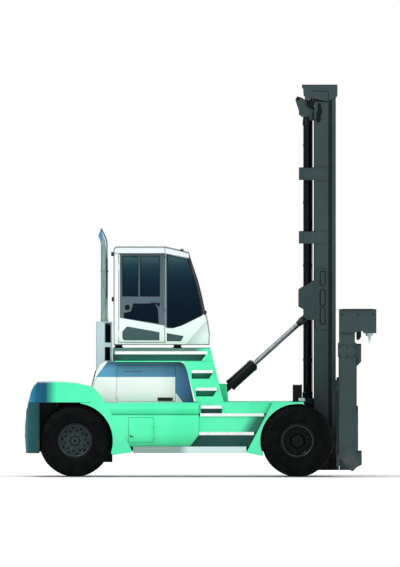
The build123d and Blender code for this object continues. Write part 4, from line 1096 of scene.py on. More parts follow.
def strip(points: tuple, y: float, width: float, depth: float, close: bool = True) -> Mesh:
    """Lay a flat strip along an outline in X and Z, with mitred corners.

    Each outline point moves half the width to either side along the mean of its two edges' normals,
    stretched by the corner, and once more depth in front of and behind y.

    Args:
        points: the outline as rows of X and Z.
        y: the strip's middle plane.
        width: across the strip, in the outline's plane.
        depth: half its thickness along Y.
        close: whether the outline is closed.

    Returns:
        A closed mesh.
    """
    path = np.asarray(points, float)
    if close:
        before, after = path - np.roll(path, 1, axis=0), np.roll(path, -1, axis=0) - path
    else:
        steps = np.diff(path, axis=0)
        before, after = np.concatenate([steps[:1], steps]), np.concatenate([steps, steps[-1:]])
    before /= np.linalg.norm(before, axis=1, keepdims=True)
    after /= np.linalg.norm(after, axis=1, keepdims=True)
    normal = np.stack([-(before + after)[:, 1], (before + after)[:, 0]], axis=1)
    normal /= np.linalg.norm(normal, axis=1, keepdims=True)
    square = np.stack([-before[:, 1], before[:, 0]], axis=1)
    stretch = 1 / np.maximum(np.sum(normal * square, axis=1, keepdims=True), 0.35)
    shift = normal * stretch * width / 2
    rings = []
    for across, along in ((-1, -1), (1, -1), (1, 1), (-1, 1)):
        flat = path + across * shift
        rings.append(np.stack([flat[:, 0], np.full(len(path), y + along * depth), flat[:, 1]], axis=1))
    grid = np.stack(rings, axis=1)
    n = len(path)
    faces = grid_faces(n, 4, close, True)
    if not close:
        faces += [(0, 1, 2, 3), tuple((n - 1) * 4 + k for k in (3, 2, 1, 0))]
    return Mesh(grid.reshape(-1, 3), faces)


# Making pieces


@dataclass
class Bench:
    """Turns meshes into finished pieces that ride on a body."""

    made: list[str] = field(default_factory=list)

    def piece(
        self, name: str, body: str | None, finish: Finish, parts: list[Mesh], bevel: float = 0.0,
        smooth: float = 35.0, stands_for: tuple[str, ...] = (),
    ) -> bpy.types.Object:
        """Make one piece.

        Args:
            name: the piece's name.
            body: the body that it rides on, or None for a piece on no body.
            finish: what it is made of.
            parts: its meshes.
            bevel: width of the rounding on its sharp edges, in metres.
            smooth: faces that meet at less than this many degrees are shaded as one.
            stands_for: CAD nodes that it takes the place of.

        Returns:
            The new object.
        """
        whole = joined(parts)
        data = bpy.data.meshes.new(name)
        data.from_pydata(whole.points.tolist(), [], whole.faces)
        data.validate()
        made = bpy.data.objects.new(name, data)
        bpy.context.scene.collection.objects.link(made)
        data.materials.append(finish.material())
        self.face_outwards(data)
        data.polygons.foreach_set("use_smooth", np.ones(len(data.polygons), bool))
        data.set_sharp_from_angle(angle=math.radians(smooth))
        if bevel:
            rounding = made.modifiers.new("edges", "BEVEL")
            rounding.width = bevel
            rounding.segments = 2
            rounding.limit_method = "ANGLE"
            rounding.harden_normals = True
        if body is not None:
            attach(made, body)
        if stands_for:
            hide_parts(*stands_for)
        self.made.append(name)
        LOG.info("%s on %s, %d faces", name, body, len(data.polygons))
        return made

    @staticmethod
    def face_outwards(data: bpy.types.Mesh) -> None:
        """Turn every closed part's faces outwards."""
        work = bmesh.new()
        work.from_mesh(data)
        bmesh.ops.recalc_face_normals(work, faces=work.faces)
        work.to_mesh(data)
        work.free()


@dataclass
class Assembly:
    """What every sub-assembly has: the bench that makes its pieces."""

    bench: Bench

    def add(self, name: str, body: str | None, finish: Finish, parts: list[Mesh], **more: object) -> None:
        """Make one piece at the bench."""
        self.bench.piece(name, body, finish, parts, **more)


@dataclass
class FramePaint:
    """Gives every CAD node its finish."""

    finishes: dict[str, Finish] = field(default_factory=dict)

    def __post_init__(self) -> None:
        """List the finish of each node."""
        shop = Shop
        self.finishes = {
            "frame": shop.black, "drive_axle": shop.black, "steer_axle": shop.black,
            "counterweight": shop.ballast, "rear_fenders": shop.mint, "side_tanks": shop.tank,
            "step_blocks": shop.steps, "steps": shop.sill, "front_fenders": shop.mint, "deck": shop.mint,
            "platform": shop.platform, "hood": shop.hood, "engine": shop.iron, "exhaust_shield": shop.shield,
            "exhaust": shop.exhaust, "valve_boxes": shop.cylinder, "cab_shell": shop.cab,
            "cab_roof": shop.cab, "cab_glass": shop.glass, "cab_mounts": shop.rubber, "seat": shop.cloth,
            "cab_fittings": shop.plastic, "tank_hatch": shop.tank, "outer_rails": shop.mast,
            "outer_ties": shop.mast, "lift_barrels": shop.cylinder, "inner_rails": shop.mast,
            "inner_crosshead": shop.mast, "mast_sheaves": shop.sheave, "lift_rods": shop.chrome,
            "carriage": shop.arm, "spreader_frame": shop.arm,
        }
        sided = {
            "spreader_arm": shop.arm, "twistlock": shop.lock, "hood_door": shop.hood, "cab_door": shop.door,
            "door_glass": shop.glass, "drive_tyres": shop.tyre, "drive_rims": shop.hub, "knuckle": shop.black,
            "steer_tyre": shop.tyre, "steer_rim": shop.wheel, "tilt_barrel": shop.cylinder,
            "tilt_rod": shop.tilt_chrome,
        }
        for name, finish in sided.items():
            for side in SIDES:
                self.finishes[f"{name}_{side}"] = finish

    def apply(self, nodes: dict[str, bpy.types.Object]) -> None:
        """Put each node's finish in its material slots."""
        for name, node in nodes.items():
            data = node.data
            if not data.materials:
                data.materials.append(None)
            for k in range(len(data.materials)):
                data.materials[k] = self.finishes[name].material()
            LOG.info("%s painted with %s", name, self.finishes[name].name)


# Cab


@dataclass
class Cab(Assembly):
    """The cab's seals, trim, lamps, wiper and its inside."""

    side_y: float = 0.74
    rear_x: float = -1.656
    outline: tuple = (
        (-1.656, 2.52), (-1.656, 4.335), (-1.618, 4.38), (-0.682, 4.38), (-0.232, 4.272), (-0.214, 4.221),
        (-0.151, 3.942), (-0.071, 3.705), (0.008, 3.388), (0.063, 3.104), (0.103, 3.071), (0.134, 2.945),
        (0.166, 2.708), (0.159, 2.52),
    )
    door_windows: tuple = (
        ((-1.497, 3.444), (-1.196, 3.444), (-1.196, 4.211), (-1.497, 4.211)),
        ((-1.156, 3.444), (-0.783, 3.444), (-0.783, 4.211), (-1.156, 4.211)),
        (
            (-1.284, 3.3), (-0.9, 3.3), (-0.835, 3.23), (-0.816, 3.152), (-0.806, 2.926), (-1.465, 3.028),
            (-1.465, 3.119), (-1.33, 3.15),
        ),
    )
    foot_panel: tuple = (
        (-1.41, 2.868), (-0.787, 2.758), (-0.787, 2.6), (-1.465, 2.6), (-1.497, 2.64), (-1.497, 2.771)
    )
    foot_window: tuple = ((-0.64, 2.731), (-0.335, 2.678), (-0.382, 2.592), (-0.64, 2.592))
    side_window: tuple = (
        (-0.64, 2.845), (-0.531, 2.84), (-0.372, 2.886), (-0.214, 2.962), (0.026, 3.082), (-0.022, 3.385),
        (-0.101, 3.698), (-0.181, 3.935), (-0.262, 4.16), (-0.64, 4.238),
    )
    screen: tuple = ((-0.229, 4.178), (-0.151, 3.942), (-0.071, 3.705), (0.008, 3.388), (0.063, 3.104))

    def seals(self) -> None:
        """Lay the dark rubber round the fixed glass and along the cab's edges."""
        edge, fixed = [], []
        for side in SIDES.values():
            y = side * (self.side_y + 0.001)
            # the dark edge trim is a rubber moulding that also stands in for the shade where the panel edges
            # turn away
            edge.append(strip(self.outline, y, 0.014, 0.008))
            fixed.append(strip(self.side_window, side * (self.side_y - 0.002), 0.016, 0.006))
            fixed.append(strip(self.foot_window, side * (self.side_y - 0.002), 0.012, 0.006))
        self.add("cab_edge_trim", Body.CHASSIS, Shop.trim, edge)
        self.add("cab_glass_seals", Body.CHASSIS, Shop.rubber, fixed)
        rear = rounded_outline(1.14, 0.75, 0.05) + [0, 3.785]
        path = np.stack([np.full(len(rear), self.rear_x - 0.002), rear[:, 0], rear[:, 1]], axis=1)
        bars = [swept(path, rectangle(0.022, 0.012), (1, 0, 0), True)]
        self.add("cab_rear_seal", Body.CHASSIS, Shop.rubber, bars)

    def doors(self) -> None:
        """Seal the door panes, and add the lower panel, the latch and its speaker cover."""
        for name, side in SIDES.items():
            body = f"cab_door_{name}"
            y = side * (self.side_y - 0.001)
            seals = [strip(w, y, 0.012, 0.006) for w in self.door_windows]
            frame = ((-1.566, 2.566), (-0.686, 2.566), (-0.686, 4.251), (-1.566, 4.251))
            seals.append(strip(frame, y, 0.009, 0.005))
            self.add(f"door_seals_{name}", body, Shop.rubber, seals)
            panel = slab(self.foot_panel, side, 0.728, 0.7405)
            self.add(f"door_lower_panel_{name}", body, Shop.panel, [panel], bevel=0.003)
            bar = smooth_path(
                [
                    (-0.93, side * 0.742, 3.315), (-0.93, side * 0.772, 3.31), (-0.79, side * 0.772, 3.29),
                    (-0.79, side * 0.742, 3.285),
                ],
                24,
            )
            latch = [
                swept(bar, circle(0.014, 10), (0, 0, 1)),
                pillow((-0.795, side * 0.752, 3.287), (0.034, 0.014, 0.03)),
            ]
            cover = turned(
                [(0.0, 0.0), (0.048, 0.0), (0.052, side * 0.003), (0.03, side * 0.006), (0.0, side * 0.007)],
                (-1.402, side * 0.7405, 3.23), Axis.Y, 32,
            )
            self.add(f"door_latch_{name}", body, Shop.hub, latch)
            self.add(f"door_speaker_{name}", body, Shop.hub, [cover])

    def foot_panes(self) -> None:
        """Cover the small front windows with grey-green panels, as the photograph shows them."""
        panes = [slab(self.foot_window, side, 0.734, 0.7408) for side in SIDES.values()]
        self.add("cab_foot_panels", Body.CHASSIS, Shop.panel, panes, bevel=0.003)

    def front(self) -> None:
        """Frame the windscreen in black, and give it a wiper."""
        path = np.array([(x, 0.0, z) for x, z in self.screen])
        posts = [
            swept(path + [0.004, side * 0.722, 0], rectangle(0.05, 0.03), (0, 1, 0))
            for side in SIDES.values()
        ]
        top = flat_bar((-0.222, -0.7, 4.172), (-0.222, 0.7, 4.172), 0.05, 0.03)
        foot = flat_bar((0.07, -0.7, 3.112), (0.07, 0.7, 3.112), 0.05, 0.03)
        self.add("windscreen_frame", Body.CHASSIS, Shop.hub, [*posts, top, foot])
        arm = smooth_path(
            [(0.078, 0.05, 3.13), (0.07, 0.05, 3.18), (0.036, 0.12, 3.35), (-0.066, 0.3, 3.72)], 32
        )
        blade = [(0.032, 0.16, 3.33), (-0.042, 0.26, 3.64), (-0.124, 0.36, 3.9)]
        boss = knob(0.034, 0.02, 0.03, 0.045, (0.07, 0.05, 3.13), Axis.X, 24)
        wiper = [
            swept(arm, circle(0.009, 8), (0, 1, 0)), swept(blade, rectangle(0.02, 0.014), (0, 1, 0)), boss
        ]
        self.add("windscreen_wiper", Body.CHASSIS, Shop.plastic, wiper)

    def roof(self) -> None:
        """Add the roof's seams, its front and rear lamps and the rail under the rear window."""
        seam = np.array([(-0.682, y, 4.381) for y in (-0.738, 0.738)])
        seams = [swept(seam, rectangle(0.012, 0.004), (0, 0, 1))]
        for side in SIDES.values():
            seams.append(
                strip(((-1.65, 4.262), (-0.682, 4.262), (-0.236, 4.176)), side * 0.7405, 0.008, 0.003, False)
            )
            seams.append(strip(((-0.682, 4.262), (-0.682, 4.379)), side * 0.7405, 0.01, 0.003, False))
        self.add("roof_seams", Body.CHASSIS, Shop.trim, seams)
        lamps, lenses = [], []
        for y in (-0.58, -0.3, 0.3, 0.58):
            lamps.append(pillow((-0.36, y, 4.304), (0.036, 0.075, 0.034), 6))
            lamps.append(
                prism(
                    [(-0.375, 4.265), (-0.335, 4.265), (-0.345, 4.285), (-0.368, 4.285)], y - 0.02, y + 0.02
                )
            )
            lenses.append(pillow((-0.328, y, 4.302), (0.009, 0.066, 0.027), 6))
        for y in (-0.6, 0.6):
            lamps.append(pillow((-1.684, y, 4.245), (0.028, 0.06, 0.036), 6))
            lenses.append(pillow((-1.709, y, 4.245), (0.006, 0.05, 0.028), 6))
            lamps.append(
                turned(
                    [(0.0, 0.0), (0.03, 0.0), (0.038, -0.02), (0.038, -0.042), (0.0, -0.048)],
                    (-1.653, y * 1.12, 3.381), Axis.X, 24,
                )
            )
        self.add("work_lamp_bodies", Body.CHASSIS, Shop.plastic, lamps)
        self.add("work_lamp_glass", Body.CHASSIS, Shop.lens, lenses)
        rail = [
            swept([(-1.66, y, z) for y, z in ((-0.7, 3.3), (0.7, 3.3))], rectangle(0.02, 0.01), (0, 0, 1))
        ]
        self.add("cab_rear_rail", Body.CHASSIS, Shop.trim, rail)

    def inside(self) -> None:
        """Fit the dash, the screen, the headlining, the lever consoles and the mat."""
        dash = prism(
            [(-0.36, 2.6), (0.05, 2.6), (0.03, 2.95), (-0.1, 3.04), (-0.3, 2.98), (-0.38, 2.86)], -0.62, 0.62
        )
        self.add("dash_board", Body.CHASSIS, Shop.plastic, [dash], bevel=0.02)
        screen = [
            pillow((-0.33, -0.42, 3.12), (0.018, 0.13, 0.095), 8),
            round_bar((-0.28, -0.42, 2.96), (-0.31, -0.42, 3.05), 0.02, (0, 1, 0), 12),
        ]
        self.add("display_screen", Body.CHASSIS, Shop.plastic, screen)
        lining = [
            prism([(-1.6, 4.21), (-0.34, 4.21), (-0.3, 4.19), (-0.3, 4.175), (-1.6, 4.175)], -0.69, 0.69)
        ]
        self.add("headlining", Body.CHASSIS, Shop.plastic, lining, bevel=0.006)
        consoles = []
        for side in SIDES.values():
            consoles.append(pillow((-0.94, side * 0.285, 3.15), (0.2, 0.05, 0.03), 6))
            consoles.append(
                turned(
                    [
                        (0.0, 0.0), (0.03, 0.0), (0.014, 0.03), (0.012, 0.1), (0.024, 0.13), (0.026, 0.17),
                        (0.0, 0.185),
                    ],
                    (-0.8, side * 0.285, 3.175), Axis.Z, 20,
                )
            )
        self.add("lever_consoles", Body.CHASSIS, Shop.plastic, consoles)
        mat = prism(rounded_outline(1.25, 1.2, 0.06) + [-0.75, 0.0], 2.5765, 2.5845, Axis.Z)
        self.add("floor_mat", Body.CHASSIS, Shop.rubber, [mat])

    def feet(self) -> None:
        """Put each rubber foot between two steel plates."""
        plates = []
        for x in (-1.568, -0.444):
            for side in SIDES.values():
                for z in (2.4505, 2.5045):
                    plates.append(
                        prism(rounded_outline(0.17, 0.17, 0.03) + [x, side * 0.62], z, z + 0.012, Axis.Z)
                    )
        self.add("cab_foot_plates", Body.CHASSIS, Shop.black, plates)

    def build(self) -> None:
        """Make everything on and in the cab."""
        self.seals()
        self.doors()
        self.foot_panes()
        self.front()
        self.roof()
        self.inside()
        self.feet()


# Wheels


@dataclass
class Tyre:
    """One port tyre: a smooth crown cut by slanting shoulder grooves, and ribbed sidewalls."""

    centre: tuple[float, float]
    steps: int = 360
    lugs: int = 36
    groove: float = 0.013
    half_profile: tuple = (
        (0.306, 0.15), (0.33, 0.158), (0.346, 0.161), (0.36, 0.1655), (0.376, 0.173), (0.379, 0.1762),
        (0.386, 0.1778), (0.389, 0.176), (0.405, 0.18), (0.425, 0.1832), (0.45, 0.1852), (0.455, 0.1872),
        (0.465, 0.1874), (0.47, 0.1862), (0.5, 0.1866), (0.535, 0.1856), (0.565, 0.1832), (0.57, 0.1842),
        (0.578, 0.1834), (0.583, 0.1806), (0.605, 0.178), (0.63, 0.1738), (0.648, 0.169), (0.662, 0.162),
        (0.673, 0.153), (0.68, 0.141), (0.6845, 0.126), (0.685, 0.105), (0.685, 0.08), (0.685, 0.055),
        (0.685, 0.03),
    )

    def mesh(self, x: float) -> Mesh:
        """Return the tyre's skin about the axle at x and the tyre's middle plane at centre[0].

        The half profile is mirrored and turned round the axle. A point's radius drops by the groove's
        depth times a smooth step of the wave sin(lugs (t + 0.9 y)), which slants with y and swaps
        sides half a pitch apart, times another smooth step that starts 0.05 m from the crown's middle
        and ends on the shoulder.
        """
        half = np.array(self.half_profile)
        profile = np.concatenate([half, half[::-1] * [1, -1]])
        angle = np.linspace(0, 2 * math.pi, self.steps, endpoint=False)[None, :]
        r, y = profile[:, 0][:, None], profile[:, 1][:, None]
        phase = self.lugs * (angle + 0.9 * np.abs(y)) + np.where(y > 0, 0, math.pi)
        cut = np.clip((np.sin(phase) - 0.45) / 0.3, 0, 1)
        zone = np.clip((np.abs(y) - 0.05) / 0.03, 0, 1) * np.clip((r - 0.61) / 0.03, 0, 1)
        radius = r - self.groove * cut * cut * (3 - 2 * cut) * zone
        squeeze = y * (1 - 0.02 * cut * np.clip((r - 0.59) / 0.03, 0, 1) * np.clip((0.684 - r) / 0.01, 0, 1))
        points = np.stack(
            [
                x + radius * np.cos(angle), self.centre[0] + squeeze + 0 * angle,
                self.centre[1] + radius * np.sin(angle),
            ],
            axis=-1,
        )
        return Mesh(points.reshape(-1, 3), grid_faces(len(profile), self.steps, True, True))


@dataclass
class Wheels(Assembly):
    """Tyres, lock rings, wheel nuts, hub bolts and valve stems of both axles."""

    front_x: float = 1.85
    rear_x: float = -2.4
    axle_z: float = 0.685
    rear_y: float = 1.15
    dual_y: tuple = (0.907, 1.337)

    def lock_ring(self, x: float, y: float, side: float) -> Mesh:
        """Return the bright split ring that holds the flange on the rim, turned round the axle."""
        high = side * 0.1655
        profile = [
            (0.284, 0.0), (0.292, 0.0), (0.302, high * 0.06), (0.303, high * 0.12), (0.299, high * 0.14),
            (0.284, high * 0.1),
        ]
        return turned(profile, (x, y + high * 0.93, self.axle_z), Axis.Y, 72, True)

    def nuts(self, count: int, radius: float, x: float, y: float, side: float, across: float) -> Mesh:
        """Return a ring of wheel nuts with their stud ends."""
        nut = hex_bolt(Axis.Y, side, across, across * 0.62)
        stud = turned(
            [
                (across * 0.27, 0.0), (across * 0.27, side * across * 0.95),
                (across * 0.2, side * across * 1.02),
            ],
            (0, 0, 0), Axis.Y, 10,
        )
        return copies(joined([nut, stud]), spun(count, radius, (x, y, self.axle_z), Axis.Y, 0.16))

    def heads(
        self, count: int, radius: float, x: float, y: float, side: float, across: float, high: float
    ) -> Mesh:
        """Return a ring of hexagon bolt heads about the axle."""
        return copies(hex_bolt(Axis.Y, side, across, high), spun(count, radius, (x, y, self.axle_z), Axis.Y))

    def valve(self, x: float, y: float, side: float) -> Mesh:
        """Return a bent valve stem that comes out through the disc."""
        path = [
            (x + 0.1, y, self.axle_z - 0.245), (x + 0.1, y + side * 0.03, self.axle_z - 0.245),
            (x + 0.12, y + side * 0.045, self.axle_z - 0.225),
            (x + 0.15, y + side * 0.05, self.axle_z - 0.195),
        ]
        return hose(path, 0.0065, 20, (0.3, 0.1, 1))

    def tyres(self) -> None:
        """Put treaded tyres in the place of the plain ones."""
        for name, side in SIDES.items():
            rear = Tyre((side * self.rear_y, self.axle_z)).mesh(self.rear_x)
            duals = [Tyre((side * y, self.axle_z)).mesh(self.front_x) for y in self.dual_y]
            self.add(
                f"steer_tread_{name}", f"steer_wheel_{name}", Shop.tyre, [rear],
                stands_for=(f"steer_tyre_{name}",),
            )
            self.add(
                f"drive_treads_{name}", f"drive_wheels_{name}", Shop.tyre, duals,
                stands_for=(f"drive_tyres_{name}",),
            )

    def steer_wheel(self, name: str, side: float) -> None:
        """Dress one steered wheel."""
        body = f"steer_wheel_{name}"
        x, disc, hub = self.rear_x, side * 1.188, side * 1.202
        self.add(f"steer_lock_ring_{name}", body, Shop.ring, [self.lock_ring(x, side * self.rear_y, side)])
        bolts = self.heads(8, 0.112, x, hub, side, 0.02, 0.012)
        self.add(
            f"steer_nuts_{name}", body, Shop.dark_bolt, [self.nuts(10, 0.198, x, disc, side, 0.036), bolts]
        )
        rib = turned(
            [(0.225, 0.0), (0.225, side * 0.006), (0.262, side * 0.012), (0.272, side * 0.006), (0.272, 0.0)],
            (x, disc, self.axle_z), Axis.Y, 72, True,
        )
        # dark raised discs stand in for hand holes in the disc; their black is the holes' painted shade
        hole_shade_discs = [
            turned(
                [(0.0, 0.0), (0.02, 0.0), (0.023, side * 0.0015), (0.015, side * 0.002), (0.0, side * 0.001)],
                tuple(place), Axis.Y, 20,
            )
            for place in spun(10, 0.244, (x, disc + side * 0.0115, self.axle_z), Axis.Y, 0.47)
        ]
        cap = [
            knob(0.03, 0.024, 0.006, 0.011, (x, side * 1.24, self.axle_z), Axis.Y, 24, side),
            turned(
                [(0.079, 0.0), (0.094, 0.0), (0.094, side * 0.008), (0.079, side * 0.01)],
                (x, hub, self.axle_z), Axis.Y, 48, True,
            ),
        ]
        self.add(f"steer_disc_rib_{name}", body, Shop.wheel, [rib])
        self.add(f"steer_hub_cap_{name}", body, Shop.hub, cap + hole_shade_discs)
        self.add(f"steer_valve_{name}", body, Shop.bolt, [self.valve(x, disc, side)])

    def drive_wheel(self, name: str, side: float) -> None:
        """Dress one pair of drive wheels."""
        body = f"drive_wheels_{name}"
        x, disc, hub = self.front_x, side * 1.295, side * 1.317
        self.add(f"drive_lock_ring_{name}", body, Shop.ring, [self.lock_ring(x, side * self.dual_y[1], side)])
        nuts = [self.nuts(12, 0.245, x, disc, side, 0.03)]
        nuts.append(self.heads(16, 0.178, x, hub, side, 0.022, 0.014))
        nuts.append(self.heads(6, 0.085, x, side * 1.415, side, 0.016, 0.01))
        self.add(f"drive_nuts_{name}", body, Shop.dark_bolt, nuts)
        cover = [
            turned(
                [(0.136, 0.0), (0.152, 0.0), (0.152, side * 0.012), (0.136, side * 0.016)],
                (x, hub, self.axle_z), Axis.Y, 60, True,
            ),
            turned(
                [(0.05, 0.0), (0.064, 0.0), (0.064, side * 0.005), (0.05, side * 0.006)],
                (x, side * 1.4145, self.axle_z), Axis.Y, 48, True,
            ),
        ]
        self.add(f"drive_hub_rings_{name}", body, Shop.hub, cover)
        self.add(f"drive_valve_{name}", body, Shop.bolt, [self.valve(x, disc, side)])

    def build(self) -> None:
        """Make the treads and every wheel's fittings."""
        self.tyres()
        for name, side in SIDES.items():
            self.steer_wheel(name, side)
            self.drive_wheel(name, side)


# Mast


@dataclass
class Mast(Assembly):
    """Lift chains, chain bolts, cylinder glands, piping, slotted pad plates, hooks and wear strips."""

    sheave: tuple = (2.33, 7.2)
    sheave_r: float = 0.195
    chain_y: float = 0.25
    cylinder_x: float = 2.042
    cylinder_y: float = 0.43
    rail_y: float = 0.68
    plate_y: float = 0.712

    def fall(self, x: float, low: float, high: float, side: float) -> Mesh:
        """Return one straight fall of leaf chain as a tall box of many short rings."""
        return swept(upright(x, side * self.chain_y, low, high, 80), rectangle(0.05, 0.03), (1, 0, 0))

    def over_sheave(self, side: float) -> Mesh:
        """Return the chain's arc over the sheave: half a circle from the rear fall to the front one."""
        path = arch(self.sheave, self.sheave_r + 0.016, side * self.chain_y)
        return swept(path, rectangle(0.05, 0.03)[:, ::-1], (0, 1, 0))

    def bent(self, name: str, finish: Finish, parts: list[Mesh], ends: tuple) -> None:
        """Make a piece on no body, with its transform baked into its mesh."""
        made = self.bench.piece(name, None, finish, parts)
        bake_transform(made)

    def chains(self) -> None:
        """Hang both leaf chains: anchor to sheave, over the sheave, and down to the carriage."""
        rear_x = self.sheave[0] - self.sheave_r - 0.016
        front_x = self.sheave[0] + self.sheave_r + 0.016
        anchor_z, bar_z = 6.935, 1.64
        rear = [self.fall(rear_x, anchor_z, self.sheave[1], side) for side in SIDES.values()]
        front = [self.fall(front_x, bar_z, self.sheave[1], side) for side in SIDES.values()]
        over = [self.over_sheave(side) for side in SIDES.values()]
        self.bent(
            "chain_rear_falls", Shop.chain, rear,
            (Body.OUTER, Body.INNER, (rear_x, 0, anchor_z), (rear_x, 0, self.sheave[1])),
        )
        self.bent(
            "chain_front_falls", Shop.chain, front,
            (Body.CARRIAGE, Body.INNER, (front_x, 0, bar_z), (front_x, 0, self.sheave[1])),
        )
        self.add("chain_over_sheaves", Body.INNER, Shop.chain, over)
        bolts, clevises = [], []
        for side in SIDES.values():
            for x, z, way in ((rear_x, 6.93, -1), (front_x, 1.63, -1)):
                rod = turned(
                    [(0.014, 0.0), (0.014, way * 0.11), (0.011, way * 0.115)], (x, side * self.chain_y, z),
                    Axis.Z, 16,
                )
                nuts = [
                    turned([(0.026, 0.0), (0.026, 0.02)], (x, side * self.chain_y, z - k), Axis.Z, 6)
                    for k in (0.075, 0.1)
                ]
                block = pillow((x, side * self.chain_y, z + 0.012), (0.026, 0.034, 0.028), 8)
                (bolts if z > 3 else clevises).extend([rod, *nuts, block])
        self.add("chain_bolts_outer", Body.OUTER, Shop.bolt, bolts)
        self.add("chain_bolts_carriage", Body.CARRIAGE, Shop.bolt, clevises)

    def plate_slot(self, low: float, high: float, side: float) -> list[Mesh]:
        """Return a raised rounded frame round one slot of the pad plate, and the dark pad inside it."""
        middle, half = (low + high) / 2, (high - low) / 2
        outline = rounded_outline(0.096, high - low, 0.04, 6) + [2.33, middle]
        frame = strip(outline, side * (self.plate_y + 0.003), 0.014, 0.006)
        return [frame, pillow((2.33, side * self.plate_y, middle), (0.04, 0.003, half - 0.012), 8)]

    def pads(self) -> None:
        """Bolt the pad plates with their three slots on the rails' sides, above the tilt brackets."""
        frames, rings, dark, heads = [], [], [], []
        for side in SIDES.values():
            outline = [
                (2.19, 2.86), (2.235, 2.81), (2.4, 2.81), (2.425, 2.86), (2.425, 3.92), (2.4, 3.96),
                (2.215, 3.96), (2.19, 3.92),
            ]
            frames.append(slab(outline, side, self.rail_y + 0.0005, self.plate_y))
            for low, high in ((3.646, 3.923), (3.266, 3.573), (2.909, 3.226)):
                ring, pad = self.plate_slot(low, high, side)
                rings.append(ring)
                dark.append(pad)
            places = [(x, side * self.plate_y, z) for z in (2.87, 3.245, 3.61, 3.94) for x in (2.235, 2.415)]
            heads.append(copies(hex_bolt(Axis.Y, side, 0.018, 0.01), places))
        self.add("pad_plates", Body.OUTER, Shop.mast, frames, bevel=0.002)
        self.add("pad_slots", Body.OUTER, Shop.hub, rings)
        self.add("pad_bosses", Body.OUTER, Shop.mast, dark)
        self.add("pad_plate_bolts", Body.OUTER, Shop.weld, heads)

    def beams(self) -> None:
        """Weld-bead the back beams to the rails and bolt their side plates."""
        beads, heads = [], []
        for side in SIDES.values():
            y = side * 0.7025
            for low, high in ((4.448, 4.68), (5.663, 5.896)):
                outline = ((1.96, low + 0.004), (2.4, low + 0.004), (2.4, high - 0.004), (1.96, high - 0.004))
                beads.append(strip(outline, y, 0.01, 0.004))
                places = [(x, side * 0.702, z) for x in (2.2, 2.36) for z in (low + 0.05, high - 0.05)]
                heads.append(copies(hex_bolt(Axis.Y, side, 0.022, 0.012), places))
            beads.append(swept(upright(2.176, side * 0.6805, 0.2, 7.1, 60), circle(0.006, 6), (1, 0, 0)))
        self.add("mast_weld_beads", Body.OUTER, Shop.weld, beads)
        self.add("back_beam_bolts", Body.OUTER, Shop.weld, heads)

    def cylinders(self) -> None:
        """Give the lift cylinders their heads, foot rings, bands and supply pipes."""
        heads, bands, pipes, feeds = [], [], [], []
        for side in SIDES.values():
            centre = (self.cylinder_x, side * self.cylinder_y, 0.0)
            head = [(0.085, 6.7), (0.097, 6.705), (0.097, 6.8), (0.09, 6.815), (0.09, 6.858), (0.072, 6.8605)]
            heads.append(turned(head, centre, Axis.Z, 40))
            heads.append(turned([(0.085, 1.5), (0.1, 1.505), (0.1, 1.6), (0.085, 1.615)], centre, Axis.Z, 40))
            for z in (2.2, 3.3, 4.0, 5.2, 6.3):
                bands.append(ring_band(0.0845, 0.09, z, z + 0.05, 0.003, centre, Axis.Z))
            x = self.cylinder_x
            run = [
                (x, side * 0.5, 1.56), (x, side * 0.545, 1.58), (x, side * 0.545, 1.7),
                (x, side * 0.545, 6.6), (x, side * 0.545, 6.74), (x, side * 0.51, 6.76),
            ]
            pipes.append(swept(run, circle(0.013, 10), (1, 0, 0)))
            for x, r in ((2.166, 0.009), (2.134, 0.006)):
                feeds.append(round_bar((x, side * 0.66, 1.3), (x, side * 0.66, 6.95), r, (1, 0, 0)))
        self.add("lift_cylinder_heads", Body.OUTER, Shop.cylinder, heads, bevel=0.002)
        self.add("lift_cylinder_bands", Body.OUTER, Shop.hub, bands)
        self.add("lift_cylinder_pipes", Body.OUTER, Shop.cylinder, pipes)
        self.add("lift_feed_pipes", Body.OUTER, Shop.cylinder, feeds)

    def head(self) -> None:
        """Add the head hooks and guards, the ears' pins and the moving stage's cap trim."""
        hooks, pins, trim = [], [], []
        for side in SIDES.values():
            hook = [
                (2.235, 7.13), (2.235, 6.99), (2.215, 6.95), (2.215, 6.84), (2.2, 6.8), (2.225, 6.765),
                (2.27, 6.77), (2.29, 6.82), (2.29, 6.9), (2.315, 6.94), (2.315, 7.02), (2.29, 7.05),
                (2.29, 7.13),
            ]
            hooks.append(slab(hook, side, 0.6805, 0.7))
            guard = [(2.02, 7.07), (2.168, 6.99), (2.168, 7.178), (2.02, 7.19)]
            hooks.append(slab(guard, side, 0.6, 0.612))
            for x, z in ((2.262, 7.07), (2.252, 6.83)):
                pins.append(knob(0.024, 0.018, 0.012, 0.016, (x, side * 0.7, z), Axis.Y, 24, side))
            pins.append(knob(0.034, 0.026, 0.01, 0.014, (1.858, side * 0.56, 7.215), Axis.Y, 28, side))
            trim.append(strip(((1.94, 7.472), (2.606, 7.472)), side * 0.692, 0.008, 0.004, False))
            trim.append(strip(((2.1, 7.36), (2.44, 7.36), (2.44, 7.2)), side * 0.6915, 0.01, 0.004, False))
        self.add("mast_head_hooks", Body.OUTER, Shop.hub, hooks, bevel=0.003)
        self.add("mast_cap_trim", Body.INNER, Shop.hub, trim)
        self.add("mast_head_pins", Body.OUTER, Shop.hub, pins)

    def wear(self) -> None:
        """Line the moving rails' front flanges with a bright rubbed track."""
        tracks = []
        for side in SIDES.values():
            path = upright(2.5815, side * 0.54, 0.25, 7.3, 40)
            tracks.append(swept(path, rectangle(0.05, 0.0015), (1, 0, 0)))
        self.add("rubbed_tracks", Body.INNER, Shop.sheave, tracks)

